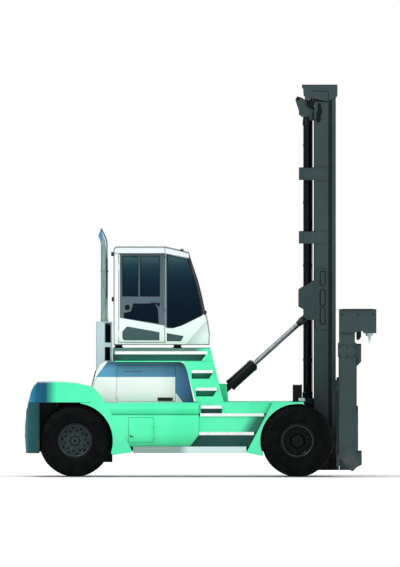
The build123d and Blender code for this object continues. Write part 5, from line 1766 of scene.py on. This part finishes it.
    def lines(self) -> None:
        """Run hydraulic hoses over the sheaves to the carriage, beside the chains."""
        reach, hose_line = 0.216, circle(0.016, 10)
        rear_x, front_x = self.sheave[0] - reach, self.sheave[0] + reach
        rear, front, over, ends = [], [], [], []
        for y in (-0.1, -0.05, 0.05, 0.1):
            for x, low, kept in ((rear_x, 4.55, rear), (front_x, 1.2, front)):
                kept.append(swept(upright(x, y, low, self.sheave[1], 90), hose_line, (1, 0, 0)))
                ends.append((x, y, low, x == rear_x))
            over.append(swept(arch(self.sheave, reach, y), hose_line, (0, 1, 0)))
        self.bent(
            "hose_rear_falls", Shop.rubber, rear,
            (Body.OUTER, Body.INNER, (rear_x, 0, 4.55), (rear_x, 0, self.sheave[1])),
        )
        self.bent(
            "hose_front_falls", Shop.rubber, front,
            (Body.CARRIAGE, Body.INNER, (front_x, 0, 1.2), (front_x, 0, self.sheave[1])),
        )
        self.add("hose_over_sheaves", Body.INNER, Shop.rubber, over)
        for name, body, is_rear in (
            ("hose_ends_outer", Body.OUTER, True), ("hose_ends_carriage", Body.CARRIAGE, False)
        ):
            parts = [
                turned(
                    [(0.02, -0.05), (0.02, 0.0), (0.022, 0.005), (0.022, 0.04), (0.017, 0.045)], (x, y, low),
                    Axis.Z, 6,
                )
                for x, y, low, there in ends
                if there is is_rear
            ]
            self.add(name, body, Shop.bolt, parts)
        roller = turned(
            [
                (0.012, -0.15), (0.19, -0.15), (0.198, -0.148), (0.186, -0.13), (0.186, 0.13), (0.198, 0.148),
                (0.19, 0.15), (0.012, 0.15),
            ],
            (self.sheave[0], 0.0, self.sheave[1]), Axis.Y, 40,
        )
        self.add("hose_roller", Body.INNER, Shop.sheave, [roller])

    def build(self) -> None:
        """Make everything on the mast."""
        self.chains()
        self.pads()
        self.beams()
        self.cylinders()
        self.head()
        self.wear()
        self.lines()


# Bodywork


@dataclass
class Bodywork(Assembly):
    """Hood seals and louvres, tank fittings, tread ribs, exhaust clamps, valve lids and tail lamps."""

    hood_y: float = 0.85
    door: tuple = ((-1.6025, 1.4375), (-0.4835, 1.4375), (-0.4835, 2.1225), (-1.6025, 2.1225))
    hatch: tuple = ((-1.382, 0.66), (-0.902, 0.66), (-0.902, 1.136), (-1.382, 1.136))

    def hood(self) -> None:
        """Seal the engine doors, press a long mark in each, and slat the hood's rear slope."""
        seals = []
        for name, side in SIDES.items():
            seals.append(strip(self.door, side * (self.hood_y + 0.0003), 0.0055, 0.0012))
            band = ((-2.062, 1.712), (-1.985, 1.912), (-1.81, 2.148))
            seals.append(strip(band, side * (self.hood_y + 0.0002), 0.006, 0.001, False))
            mark = pillow((-1.29, side * (self.hood_y + 0.0005), 2.003), (0.17, 0.0015, 0.007), 6)
            self.add(f"hood_door_mark_{name}", f"hood_door_{name}", Shop.trim, [mark])
        self.add("hood_door_seals", Body.CHASSIS, Shop.rubber, seals)
        a, b = np.array([-2.07, 1.735]), np.array([-2.002, 1.995])
        slats = []
        for t in np.linspace(0.08, 0.92, 9):
            x, z = a + (b - a) * t
            slats.append(flat_bar((x - 0.006, -0.62, z), (x - 0.006, 0.62, z), 0.024, 0.006, (0.55, 0, 0.83)))
        for side in SIDES.values():
            slats.append(
                flat_bar((-2.075, side * 0.63, 1.72), (-2.007, side * 0.63, 2.01), 0.02, 0.02, (0, 1, 0))
            )
        self.add("hood_rear_louvres", Body.CHASSIS, Shop.black, slats)

    def tanks(self) -> None:
        """Seal the hatch, hook its latch, and add a filler cap, a breather and a sight glass."""
        self.add("hatch_seal", Body.CHASSIS, Shop.rubber, [strip(self.hatch, -1.4002, 0.005, 0.0012)])
        hook = smooth_path(
            [
                (-1.346, -1.412, 0.8), (-1.346, -1.424, 0.79), (-1.343, -1.424, 0.765),
                (-1.31, -1.424, 0.757), (-1.292, -1.424, 0.78),
            ],
            24,
        )
        self.add("hatch_hook", Body.HATCH, Shop.rubber, [swept(hook, circle(0.007, 8), (0, 1, 0))])
        cap = [
            (0.0, 0.0), (0.062, 0.0), (0.062, 0.016), (0.05, 0.022), (0.05, 0.05), (0.044, 0.056),
            (0.0, 0.058),
        ]
        parts = [
            turned(cap, (-0.5, 1.12, 1.416), Axis.Z, 32),
            turned(
                [(0.0, 0.0), (0.014, 0.0), (0.02, 0.02), (0.02, 0.045), (0.0, 0.05)], (-0.9, 1.2, 1.416),
                Axis.Z, 20,
            ),
        ]
        grips = spun(10, 0.05, (-0.5, 1.12, 1.45), Axis.Z)
        parts.append(copies(pillow((0, 0, 0), (0.006, 0.006, 0.018), 4), grips))
        self.add("tank_filler_caps", Body.CHASSIS, Shop.plastic, parts)
        glass = [pillow((-1.15, 1.402, 0.92), (0.018, 0.004, 0.09), 5)]
        self.add("oil_sight_glass", Body.CHASSIS, Shop.lens, glass)

    def strips(self) -> None:
        """Rib the tops of the treads."""
        ribs = []
        treads = ((-0.092, 0.304, 1.702, 1.251), (-0.172, 0.229, 2.038, 1.197), (0.004, 0.405, 1.36, 1.4))
        for x0, x1, z, y in treads:
            for side in SIDES.values():
                bar = flat_bar((x0 + 0.01, 0, 0), (x1 - 0.01, 0, 0), 0.006, 0.003)
                ys = side * np.linspace(y - 0.15, y - 0.02, 8)
                ribs.append(copies(bar, np.stack([np.zeros(8), ys, np.full(8, z + 0.001)], axis=1)))
        self.add("tread_ribs", Body.CHASSIS, Shop.tread, ribs)

    def exhaust(self) -> None:
        """Clamp the tailpipe and the silencer, and edge the heat shield's slots."""
        x, y = -1.841, -0.43
        clamps = [ring_band(0.068, 0.074, z, z + 0.036, 0.002, (x, y, 0), Axis.Z) for z in (2.966, 3.9)]
        clamps.append(
            copies(hex_bolt(Axis.X, 1.0, 0.014, 0.012), [(x + 0.073, y, 2.984), (x + 0.073, y, 3.918)])
        )
        self.add("exhaust_clamps", Body.CHASSIS, Shop.exhaust, clamps)
        bands = [ring_band(0.1255, 0.13, z, z + 0.033, 0.003, (x, y, 0), Axis.Z) for z in (2.45, 2.65)]
        self.add("silencer_bands", Body.CHASSIS, Shop.hub, bands)
        slots = []
        for low, high, right in ((2.56, 2.93, -1.718), (2.215, 2.47, -1.728)):
            slots.append(
                strip(((-1.828, low), (right, low), (right, high), (-1.828, high)), y - 0.1505, 0.01, 0.0015)
            )
        slots.append(
            strip(
                ((-1.988, 1.99), (-1.988, 2.952), (-1.696, 2.952), (-1.696, 1.99)), y - 0.1503, 0.006, 0.0012,
                False,
            )
        )
        self.add("shield_edges", Body.CHASSIS, Shop.trim, slots)

    def decks(self) -> None:
        """Lid the valve boxes and set the pale pads beside them."""
        lids, pads, bolts = [], [], []
        for side in SIDES.values():
            middle = side * 0.875
            lids.append(prism(rounded_outline(0.184, 0.276, 0.02) + [1.846, middle], 1.7235, 1.739, Axis.Z))
            pads.append(pillow((1.93, side * 1.0, 1.47), (0.062, 0.025, 0.034), 8))
            places = [(1.846 + dx, middle + dy, 1.739) for dx in (-0.07, 0.07) for dy in (-0.11, 0.11)]
            bolts.append(copies(hex_bolt(Axis.Z, 1.0, 0.014, 0.008), places))
        self.add("valve_box_lids", Body.CHASSIS, Shop.cylinder, lids, bevel=0.003)
        self.add("valve_box_pads", Body.CHASSIS, Shop.shield, pads)
        self.add("valve_box_bolts", Body.CHASSIS, Shop.bolt, bolts)

    @staticmethod
    def leaned(part: Mesh) -> Mesh:
        """Lay a part on the counterweight's sloping back: x gains -3.337 + 0.166 (z - 1.15)."""
        points = part.points.copy()
        points[:, 0] += -3.337 + 0.166 * (points[:, 2] - 1.15)
        return Mesh(points, part.faces)

    def rear(self) -> None:
        """Set tail lamps and reflectors in the counterweight."""
        lamps, red, amber = [], [], []
        for side in SIDES.values():
            lamps.append(self.leaned(pillow((0, side * 0.98, 1.24), (0.006, 0.13, 0.06), 8)))
            red.append(self.leaned(pillow((-0.0055, side * 1.03, 1.24), (0.004, 0.06, 0.045), 6)))
            amber.append(self.leaned(pillow((-0.0055, side * 0.9, 1.24), (0.004, 0.04, 0.045), 6)))
            red.append(
                turned(
                    [(0.0, 0.0), (0.035, 0.0), (0.032, -0.006), (0.0, -0.008)], (-3.354, side * 0.7, 0.78),
                    Axis.X, 24,
                )
            )
        self.add("tail_lamp_bodies", Body.CHASSIS, Shop.plastic, lamps)
        self.add("tail_lamp_red", Body.CHASSIS, Shop.red, red)
        self.add("tail_lamp_amber", Body.CHASSIS, Shop.amber, amber)

    def build(self) -> None:
        """Make every fitting on the bodywork."""
        self.hood()
        self.tanks()
        self.strips()
        self.exhaust()
        self.decks()
        self.rear()


# Driveline


@dataclass
class Driveline(Assembly):
    """What the open engine doors and the underside show: engine parts, shaft, radiator and pipes."""

    def engine(self) -> None:
        """Hang filters, a starter, an alternator, manifolds and covers on the engine's block."""
        iron, plastic, pipes, bright = [], [], [], []
        for k in range(6):
            x = -1.45 + 0.19 * k
            iron.append(pillow((x, 0.0, 1.815), (0.082, 0.16, 0.045), 6))
            pipes.append(
                hose(
                    [(x, -0.31, 1.66), (x, -0.37, 1.66), (x - 0.02, -0.4, 1.6), (x - 0.03, -0.4, 1.5)], 0.032,
                    20, (0, 1, 0),
                )
            )
            bright.append(
                hose(
                    [(x, 0.3, 1.7), (x, 0.36, 1.72), (x + 0.03, 0.37, 1.62), (x + 0.03, 0.345, 1.5)], 0.007,
                    20, (0, 1, 0),
                )
            )
        iron.append(
            turned(
                [(0.05, -1.5), (0.062, -1.49), (0.062, -0.45), (0.05, -0.44)], (0, -0.405, 1.5), Axis.X, 24
            )
        )
        iron.append(
            turned(
                [(0.0, 0.0), (0.1, 0.01), (0.13, 0.04), (0.13, 0.1), (0.09, 0.13), (0.05, 0.2), (0.0, 0.2)],
                (-1.62, -0.4, 1.66), Axis.X, 32,
            )
        )
        iron.append(
            turned(
                [(0.0, 0.0), (0.07, 0.0), (0.075, 0.02), (0.075, 0.15), (0.05, 0.17), (0.0, 0.17)],
                (-0.62, 0.41, 1.25), Axis.X, 28,
            )
        )
        iron.append(
            turned([(0.0, 0.0), (0.055, 0.0), (0.055, 0.3), (0.0, 0.31)], (-1.1, 0.39, 0.95), Axis.X, 24)
        )
        for x in (-1.3, -1.15):
            plastic.append(
                turned(
                    [(0.0, 0.0), (0.05, 0.0), (0.056, 0.01), (0.056, 0.19), (0.045, 0.2), (0.0, 0.2)],
                    (x, 0.39, 1.3), Axis.Z, 24,
                )
            )
        plastic.append(
            turned(
                [(0.0, 0.0), (0.13, 0.0), (0.14, 0.02), (0.14, 0.46), (0.12, 0.5), (0.0, 0.5)],
                (-1.25, 0.52, 1.98), Axis.X, 36,
            )
        )
        pipes.append(
            hose(
                [
                    (-0.75, 0.52, 1.98), (-0.6, 0.5, 1.98), (-0.52, 0.4, 1.92), (-0.52, 0.2, 1.8),
                    (-0.55, 0.1, 1.7),
                ],
                0.055, 40, (0.2, 0.3, 1),
            )
        )
        pipes.append(
            hose(
                [(-1.62, -0.4, 1.8), (-1.7, -0.42, 1.9), (-1.8, -0.43, 2.0), (-1.841, -0.43, 2.08)], 0.055,
                30, (0, 1, 0),
            )
        )
        plastic.append(pillow((-0.72, 0.6, 1.5), (0.17, 0.1, 0.11), 10))
        self.add("engine_castings", Body.CHASSIS, Shop.iron, iron, bevel=0.003)
        self.add("engine_filters", Body.CHASSIS, Shop.plastic, plastic)
        self.add("engine_pipes", Body.CHASSIS, Shop.rubber, pipes)
        self.add("injector_pipes", Body.CHASSIS, Shop.bolt, bright)

    def radiator(self) -> None:
        """Stand a finned core with side tanks and a fan ring behind the engine."""
        fins = flat_bar((-1.935, -0.6, 0), (-1.935, 0.6, 0), 0.09, 0.004)
        z = np.linspace(1.47, 1.98, 44)
        core = copies(fins, np.stack([np.zeros(44), np.zeros(44), z], axis=1))
        tanks = [pillow((-1.935, side * 0.64, 1.72), (0.06, 0.05, 0.28), 8) for side in SIDES.values()]
        ring = turned(
            [(0.26, 0.0), (0.272, 0.0), (0.272, 0.09), (0.26, 0.09)], (-1.86, 0.0, 1.72), Axis.X, 56, True
        )
        blades = []
        for k in range(8):
            t = k * math.pi / 4
            one = [(-0.02, 0.05), (0.02, 0.07), (0.02, 0.24), (-0.02, 0.24)]
            flat = prism(one, -0.003, 0.003, Axis.Z)
            turn = np.array([[1, 0, 0], [0, math.cos(t), math.sin(t)], [0, -math.sin(t), math.cos(t)]])
            skew = np.array(
                [[math.cos(0.5), 0, math.sin(0.5)], [0, 1, 0], [-math.sin(0.5), 0, math.cos(0.5)]]
            )
            blades.append(Mesh((flat.points @ skew) @ turn + [-1.81, 0.0, 1.72], flat.faces))
        hub = turned([(0.0, 0.0), (0.06, 0.0), (0.06, 0.05), (0.0, 0.05)], (-1.83, 0.0, 1.72), Axis.X, 24)
        self.add("radiator_core", Body.CHASSIS, Shop.sheave, [core])
        self.add("radiator_tanks", Body.CHASSIS, Shop.plastic, [*tanks, ring])
        self.add("cooling_fan", Body.CHASSIS, Shop.plastic, [*blades, hub])

    def shaft(self) -> None:
        """Run the propeller shaft with its two joints from the gearbox to the drive axle."""
        tube = [
            (0.0, -0.34), (0.09, -0.34), (0.09, -0.32), (0.045, -0.26), (0.045, -0.16), (0.055, -0.15),
            (0.055, 1.1), (0.045, 1.11), (0.045, 1.2), (0.09, 1.26), (0.09, 1.28), (0.0, 1.28),
        ]
        bolts = copies(hex_bolt(Axis.X, 1.0, 0.02, 0.012), spun(8, 0.072, (-0.32, 0.0, 0.735), Axis.X))
        self.add(
            "propeller_shaft", Body.CHASSIS, Shop.cylinder, [turned(tube, (0, 0, 0.735), Axis.X, 28), bolts]
        )

    def build(self) -> None:
        """Make the engine's parts, the radiator and the shaft."""
        self.engine()
        self.radiator()
        self.shaft()


# Tilt cylinders and spreader


@dataclass
class TiltCylinders(Assembly):
    """End rings, gland nut, ports and pipes of both tilt cylinders, and the rods' dark eye ends."""

    foot: tuple = (0.445, 1.627)
    eye: tuple = (2.046, 3.075)
    y: float = 0.638

    def laid(self, part: Mesh, side: float) -> Mesh:
        """Turn a mesh built along X from the origin onto the cylinder's slanted axis."""
        run, rise = self.eye[0] - self.foot[0], self.eye[1] - self.foot[1]
        length = math.hypot(run, rise)
        c, s = run / length, rise / length
        turn = np.array([[c, 0, s], [0, 1, 0], [-s, 0, c]])
        return Mesh(part.points @ turn + [self.foot[0], side * self.y, self.foot[1]], part.faces)

    def build(self) -> None:
        """Dress each barrel and each rod."""
        for name, side in SIDES.items():
            rings = [
                ring_band(0.107, 0.113, 0.15, 0.2, 0.004, (0, 0, 0), Axis.X),
                ring_band(0.107, 0.113, 0.69, 0.75, 0.004, (0, 0, 0), Axis.X),
                turned(
                    [(0.06, 0.77), (0.084, 0.77), (0.084, 0.786), (0.06, 0.79)], (0, 0, 0), Axis.X, 8, True
                ),
                pillow((0.23, -side * 0.112, 0), (0.03, 0.022, 0.03), 6),
                pillow((0.66, -side * 0.112, 0), (0.03, 0.022, 0.03), 6),
            ]
            pipe = round_bar((0.24, -side * 0.128, 0), (0.65, -side * 0.128, 0), 0.01, (0, 0, 1))
            bolts = copies(hex_bolt(Axis.X, 1.0, 0.016, 0.01), spun(8, 0.097, (0.75, 0, 0), Axis.X))
            parts = [self.laid(part, side) for part in (*rings, pipe, bolts)]
            self.add(f"tilt_barrel_fittings_{name}", f"tilt_barrel_{name}", Shop.cylinder, parts)
            sleeve = [
                ring_band(0.047, 0.056, 1.93, 2.09, 0.005, (0, 0, 0), Axis.X, 32),
                ring_band(0.047, 0.062, 1.9, 1.93, 0.002, (0, 0, 0), Axis.X, 6),
            ]
            self.add(
                f"tilt_rod_ends_{name}", f"tilt_rod_{name}", Shop.hub,
                [self.laid(part, side) for part in sleeve],
            )


@dataclass
class Spreader(Assembly):
    """Flaps, guide collars, lamps, bolts, hoses, cylinders and valves on the spreader and its arms."""

    lock: tuple = (3.22, 2.9265)

    def arms(self) -> None:
        """Fit each arm's flap, edge strips, bolts, lid and lock collar."""
        for name, side in SIDES.items():
            body, middle = f"arm_{name}", side * self.lock[1]
            face = middle + side * 0.1
            flap = [
                (2.972, 2.757), (3.067, 2.757), (3.067, 2.69), (3.03, 2.63), (2.985, 2.625), (2.972, 2.66)
            ]
            dark = [prism(flap, middle - 0.09, middle + 0.09)]
            dark.append(
                strip(
                    ((3.0, 0.47), (3.0, 1.312), (2.975, 1.312), (2.975, 2.3)), face + side * 0.001, 0.012,
                    0.002, False,
                )
            )
            dark.append(strip(((2.64, 0.47), (2.64, 2.3)), face + side * 0.001, 0.01, 0.002, False))
            self.add(f"arm_flap_{name}", body, Shop.hub, dark, bevel=0.002)
            collar_y = middle + side * 0.1155
            seams = [
                strip(
                    ((2.625, 2.306), (2.966, 2.306), (2.966, 2.519), (2.625, 2.519)), collar_y, 0.009, 0.002
                )
            ]
            seams.append(
                strip(
                    ((2.68, 0.24), (2.9, 0.24), (2.985, 0.4), (2.985, 0.455)), face + side * 0.001, 0.012,
                    0.002, False,
                )
            )
            head_y = middle + side * 0.1505
            seams.append(
                strip(
                    ((2.652, 2.79), (2.652, 3.153), (3.344, 3.153), (3.344, 2.772)), head_y, 0.01, 0.002,
                    False,
                )
            )
            self.add(f"arm_seams_{name}", body, Shop.weld, seams)
            bolts = [(x, collar_y, z) for x in (2.65, 2.8, 2.94) for z in (2.335, 2.49)]
            bolts += [(x, head_y, z) for x in (2.7, 3.0, 3.3) for z in (3.11,)]
            self.add(
                f"arm_bolts_{name}", body, Shop.dark_bolt,
                [copies(hex_bolt(Axis.Y, side, 0.022, 0.012), bolts)],
            )
            ring = [(0.04, 2.706), (0.064, 2.706), (0.0685, 2.711), (0.0685, 2.757), (0.04, 2.757)]
            self.add(
                f"lock_collar_{name}", body, Shop.lock,
                [turned(ring, (self.lock[0], middle, 0), Axis.Z, 40, True)],
            )
            lid = prism(rounded_outline(0.6, 0.24, 0.02) + [3.0, middle], 3.165, 3.172, Axis.Z)
            self.add(f"arm_lid_{name}", body, Shop.arm, [lid])

    def frame(self) -> None:
        """Put the valve block, hoses, slide cylinders, gussets and lamps on the spreader's frame."""
        block = [pillow((2.8, 0.0, 2.345), (0.09, 0.26, 0.052), 10)]
        block += [
            knob(0.022, 0.016, 0.05, 0.055, (2.8, y, 2.395), Axis.Z, 20) for y in np.linspace(-0.21, 0.21, 7)
        ]
        self.add("spreader_valve_block", Body.SPREADER, Shop.cylinder, block)
        hoses = []
        for k in range(4):
            y = 0.08 + 0.05 * k
            for side in SIDES.values():
                hoses.append(
                    hose(
                        [
                            (2.73, side * y, 2.33), (2.7, side * (y + 0.1), 2.312),
                            (2.7, side * (y + 0.5), 2.308), (2.7 + 0.03 * k, side * 1.6, 2.308),
                            (2.7 + 0.03 * k, side * 2.5, 2.308),
                        ],
                        0.014, 60, (0, 0, 1),
                    )
                )
        self.add("spreader_hoses", Body.SPREADER, Shop.rubber, hoses)
        cylinders = [
            turned([(0.0, 0.25), (0.045, 0.25), (0.045, 2.55), (0.0, 2.56)], (2.9, 0.0, 2.338), Axis.Y, 28),
            turned(
                [(0.0, -0.25), (0.045, -0.25), (0.045, -2.55), (0.0, -2.56)], (2.9, 0.0, 2.338), Axis.Y, 28
            ),
        ]
        self.add("slide_cylinders", Body.SPREADER, Shop.cylinder, cylinders)
        welds, gussets = [], []
        for y in (-2.0, -0.65, 0.65, 2.0):
            gussets.append(
                prism([(2.655, 2.019), (2.7, 2.019), (2.7, 2.012), (2.655, 2.012)], y - 0.3, y + 0.3)
            )
        for y in (-2.6, -1.3, 0.0, 1.3, 2.6):
            welds.append(strip(((2.7, 2.0125), (2.91, 2.0125)), y + 0.092, 0.008, 0.004, False))
        self.add("spreader_gussets", Body.SPREADER, Shop.arm, gussets)
        self.add("spreader_welds", Body.SPREADER, Shop.weld, welds)
        lamps, glass = [], []
        for side in SIDES.values():
            lamps.append(pillow((2.93, side * 0.9, 2.335), (0.04, 0.07, 0.04), 6))
            glass.append(pillow((2.972, side * 0.9, 2.335), (0.006, 0.06, 0.032), 6))
        self.add("spreader_lamps", Body.SPREADER, Shop.plastic, lamps)
        self.add("spreader_lamp_glass", Body.SPREADER, Shop.lens, glass)

    def carriage(self) -> None:
        """Set the carriage's hose bracket."""
        plate = prism([(2.52, -0.16), (2.585, -0.16), (2.585, 0.16), (2.52, 0.16)], 1.19, 1.205, Axis.Z)
        legs = [flat_bar((2.545, y, 1.2), (2.545, y, 1.565), 0.03, 0.02, (0, 1, 0)) for y in (-0.14, 0.14)]
        self.add("carriage_hose_bracket", Body.CARRIAGE, Shop.black, [plate, *legs])

    def build(self) -> None:
        """Make everything on the spreader, its arms and the carriage."""
        self.arms()
        self.frame()
        self.carriage()


# Seat


@dataclass
class OperatorSeat(Assembly):
    """The operator's seat: the CAD solid's shape, swollen as cloth, with sewn channels and buckles."""

    voxel: float = 0.009
    shrink: float = 0.007
    cap: float = 0.01
    pressure: float = 4.0
    frames: int = 20
    channel_y: float = 0.125
    channel_depth: float = 0.007
    channel_width: float = 0.009

    @staticmethod
    def read(data: bpy.types.Mesh, what: str = "co") -> Array:
        """Return a mesh's vertices, or their normals, as an (n, 3) array."""
        flat = np.empty(len(data.vertices) * 3, np.float32)
        data.vertices.foreach_get(what, flat)
        return flat.reshape(-1, 3).astype(float)

    @staticmethod
    def move(data: bpy.types.Mesh, points: Array) -> None:
        """Put a mesh's vertices in new places."""
        data.vertices.foreach_set("co", points.astype(np.float32).ravel())
        data.update()

    def core(self) -> bpy.types.Object:
        """Copy the CAD seat, merge it, remesh it evenly, and pull it in by the shrink."""
        source = bpy.data.objects["seat"]
        data = source.data.copy()
        work = bmesh.new()
        work.from_mesh(data)
        bmesh.ops.remove_doubles(work, verts=work.verts, dist=0.00005)
        work.to_mesh(data)
        work.free()
        made = bpy.data.objects.new("operator_seat", data)
        bpy.context.scene.collection.objects.link(made)
        even = made.modifiers.new("even", "REMESH")
        even.mode = "VOXEL"
        even.voxel_size = self.voxel
        self.fix(made)
        self.move(made.data, self.read(made.data) - self.read(made.data, "normal") * self.shrink)
        return made

    @staticmethod
    def fix(made: bpy.types.Object) -> None:
        """Apply the object's modifiers as they stand."""
        graph = bpy.context.evaluated_depsgraph_get()
        graph.update()
        new = bpy.data.meshes.new_from_object(made.evaluated_get(graph))
        made.modifiers.clear()
        old, made.data = made.data, new
        bpy.data.meshes.remove(old)

    def swell(self, made: bpy.types.Object) -> None:
        """Blow the cover up as cloth for some frames, and cap how far a point has moved."""
        before = self.read(made.data)
        cloth = made.modifiers.new("swell", "CLOTH")
        cloth.settings.use_pressure = True
        cloth.settings.uniform_pressure_force = self.pressure
        cloth.settings.effector_weights.gravity = 0.0
        cloth.settings.quality = 4
        cloth.collision_settings.use_collision = False
        scene = bpy.context.scene
        for number in range(1, self.frames + 1):
            scene.frame_set(number)
        self.fix(made)
        scene.frame_set(1)
        moved = self.read(made.data) - before
        far = np.linalg.norm(moved, axis=1, keepdims=True)
        moved *= np.minimum(1.0, self.cap / np.maximum(far, 1e-9))
        self.move(made.data, before + moved)

    def sew(self, made: bpy.types.Object) -> None:
        """Press two channels along the seat and three across it.

        A point sinks along its normal by the depth times exp(-(d / width)^2), where d is its distance
        from the nearest channel's plane.
        """
        points, normal = self.read(made.data), self.read(made.data, "normal")
        along = np.abs(np.abs(points[:, 1]) - self.channel_y)
        planes = [(-1.06, 2.985, 1, 0), (-0.86, 2.985, 1, 0), (0, 3.24, 0, 1), (0, 3.43, 0, 1)]
        across = np.min(
            [np.abs((points[:, 0] - x) * a + (points[:, 2] - z) * b) for x, z, a, b in planes], axis=0
        )
        inside = np.clip((self.channel_y + 0.01 - np.abs(points[:, 1])) / 0.02, 0, 1)
        low = np.where(points[:, 2] > 3.05, across, np.abs(points[:, 0] + 1.06))
        sink = np.exp(-((along / self.channel_width) ** 2)) + inside * np.exp(
            -((low / self.channel_width) ** 2)
        )
        facing = np.clip(normal[:, 2] * 1.4 + normal[:, 0] * 1.4, 0, 1)
        self.move(made.data, points - normal * (self.channel_depth * np.minimum(sink, 1.0) * facing)[:, None])

    def build(self) -> None:
        """Make the padded seat and its belt buckles."""
        made = self.core()
        self.swell(made)
        self.sew(made)
        data = made.data
        data.materials.clear()
        data.materials.append(Shop.cloth.material())
        data.polygons.foreach_set("use_smooth", np.ones(len(data.polygons), bool))
        finer = made.modifiers.new("finer", "SUBSURF")
        finer.levels = finer.render_levels = 1
        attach(made, Body.CHASSIS)
        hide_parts("seat")
        self.bench.made.append(made.name)
        buckles = [pillow((-1.2, side * 0.245, 2.98), (0.022, 0.012, 0.05), 6) for side in SIDES.values()]
        self.add("belt_buckles", Body.CHASSIS, Shop.plastic, buckles)


SUB_ASSEMBLIES: list[type] = [Wheels, Cab, Mast, Bodywork, Driveline, TiltCylinders, Spreader, OperatorSeat]


# The studio


@dataclass
class Studio:
    """A plain pale floor, soft lights and the photograph's side-on camera."""

    scale: float = 0.0191  # metres a pixel in the photograph
    size: tuple[int, int] = (400, 567)
    centre_px: tuple[float, float] = (200.7, 476.2)  # where X 0 and Z 0 lie in it
    elevation: float = 0.5  # degrees

    def floor(self) -> None:
        """Lay a wide pale floor just under the wheels."""
        grid = np.linspace(-60, 60, 5)
        x, y = np.meshgrid(grid, grid)
        points = np.stack([x.ravel(), y.ravel(), np.full(25, -0.002)], axis=1)
        data = bpy.data.meshes.new("floor")
        data.from_pydata(points.tolist(), [], grid_faces(5, 5, False, False))
        made = bpy.data.objects.new("floor", data)
        bpy.context.scene.collection.objects.link(made)
        sheet = bpy.data.materials.new("pale_floor")
        sheet.use_nodes = True
        tree = sheet.node_tree
        tree.nodes.clear()
        settings = {"Base Color": "#F3F4F4", "Roughness": 0.9, "Emission Color": (1, 1, 1, 1)}
        shader = add_node(tree, "BsdfPrincipled", None, settings)
        on = Brush(tree, add_node(tree, "TexCoord").outputs["Object"], shader)
        away = add_node(tree, "VectorMath", {"operation": "LENGTH"}, {0: on.place}).outputs["Value"]
        on.put("Emission Strength", on.times(on.spread(away, 3.5, 9.0), 0.45))
        add_node(tree, "OutputMaterial", None, {"Surface": shader.outputs[0]})
        data.materials.append(sheet)

    def sky(self) -> None:
        """Surround the scene with soft light, brighter above, and white where the camera looks."""
        world = bpy.data.worlds.new("soft_studio")
        bpy.context.scene.world = world
        world.use_nodes = True
        tree = world.node_tree
        tree.nodes.clear()
        on = Brush(tree, add_node(tree, "TexCoord").outputs["Generated"])
        glow = on.ramp(on.spread(on.z, -0.15, 1.0), [(0.0, "#8A8F92"), (0.25, "#C6CBCD"), (1.0, "#FFFFFF")])
        soft = add_node(tree, "Background", None, {"Color": glow, "Strength": 0.82})
        white = add_node(tree, "Background", None, {"Color": (1, 1, 1, 1), "Strength": 1.0})
        seen = add_node(tree, "LightPath").outputs["Is Camera Ray"]
        blended = add_node(tree, "MixShader", None, {0: seen, 1: soft.outputs[0], 2: white.outputs[0]})
        add_node(tree, "OutputWorld", None, {"Surface": blended.outputs[0]})

    def lamp(self, name: str, place: Point, aim: Point, size: float, power: float) -> None:
        """Hang one square soft light that looks at a point."""
        light = bpy.data.lights.new(name, "AREA")
        light.size = size
        light.energy = power
        made = bpy.data.objects.new(name, light)
        bpy.context.scene.collection.objects.link(made)
        made.location = place
        direction = np.asarray(aim) - np.asarray(place)
        made.rotation_euler = Vector(direction.tolist()).to_track_quat("-Z", "Y").to_euler()

    def camera(self) -> None:
        """Look along +Y without perspective, in the photograph's own frame."""
        lens = bpy.data.cameras.new("side_on")
        lens.type = "ORTHO"
        lens.ortho_scale = self.scale * max(self.size)
        lens.clip_start, lens.clip_end = 0.1, 200.0
        made = bpy.data.objects.new("side_on", lens)
        bpy.context.scene.collection.objects.link(made)
        x = (self.size[0] / 2 - self.centre_px[0]) * self.scale
        z = (self.centre_px[1] - self.size[1] / 2) * self.scale
        tilt = math.radians(self.elevation)
        back = 30.0
        made.location = (x, -back * math.cos(tilt), z + back * math.sin(tilt))
        made.rotation_euler = (math.pi / 2 - tilt, 0, 0)
        bpy.context.scene.camera = made

    def build(self) -> None:
        """Set everything up and keep the colours plain."""
        self.floor()
        self.sky()
        self.lamp("key", (-9.0, -14.0, 13.0), (0, 0, 3.0), 9.0, 1250.0)
        self.lamp("fill", (12.0, -11.0, 7.0), (0, 0, 3.0), 8.0, 500.0)
        self.lamp("back", (-4.0, 14.0, 12.0), (0, 0, 3.0), 9.0, 1000.0)
        self.lamp("glint", (6.0, -13.0, 9.5), (0, 0, 1.5), 1.3, 130.0)
        self.camera()
        view = bpy.context.scene.view_settings
        view.view_transform = "Standard"
        view.look = "None"


def main() -> None:
    """Build every sub-assembly in order."""
    logging.basicConfig(level=logging.WARNING, format="%(name)s %(message)s")
    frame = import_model()
    FramePaint().apply(frame["nodes"])
    bench = Bench()
    for part in SUB_ASSEMBLIES:
        part(bench).build()
        LOG.info("%s done", part.__name__)
    Studio().build()


if __name__ == "__main__":
    main()
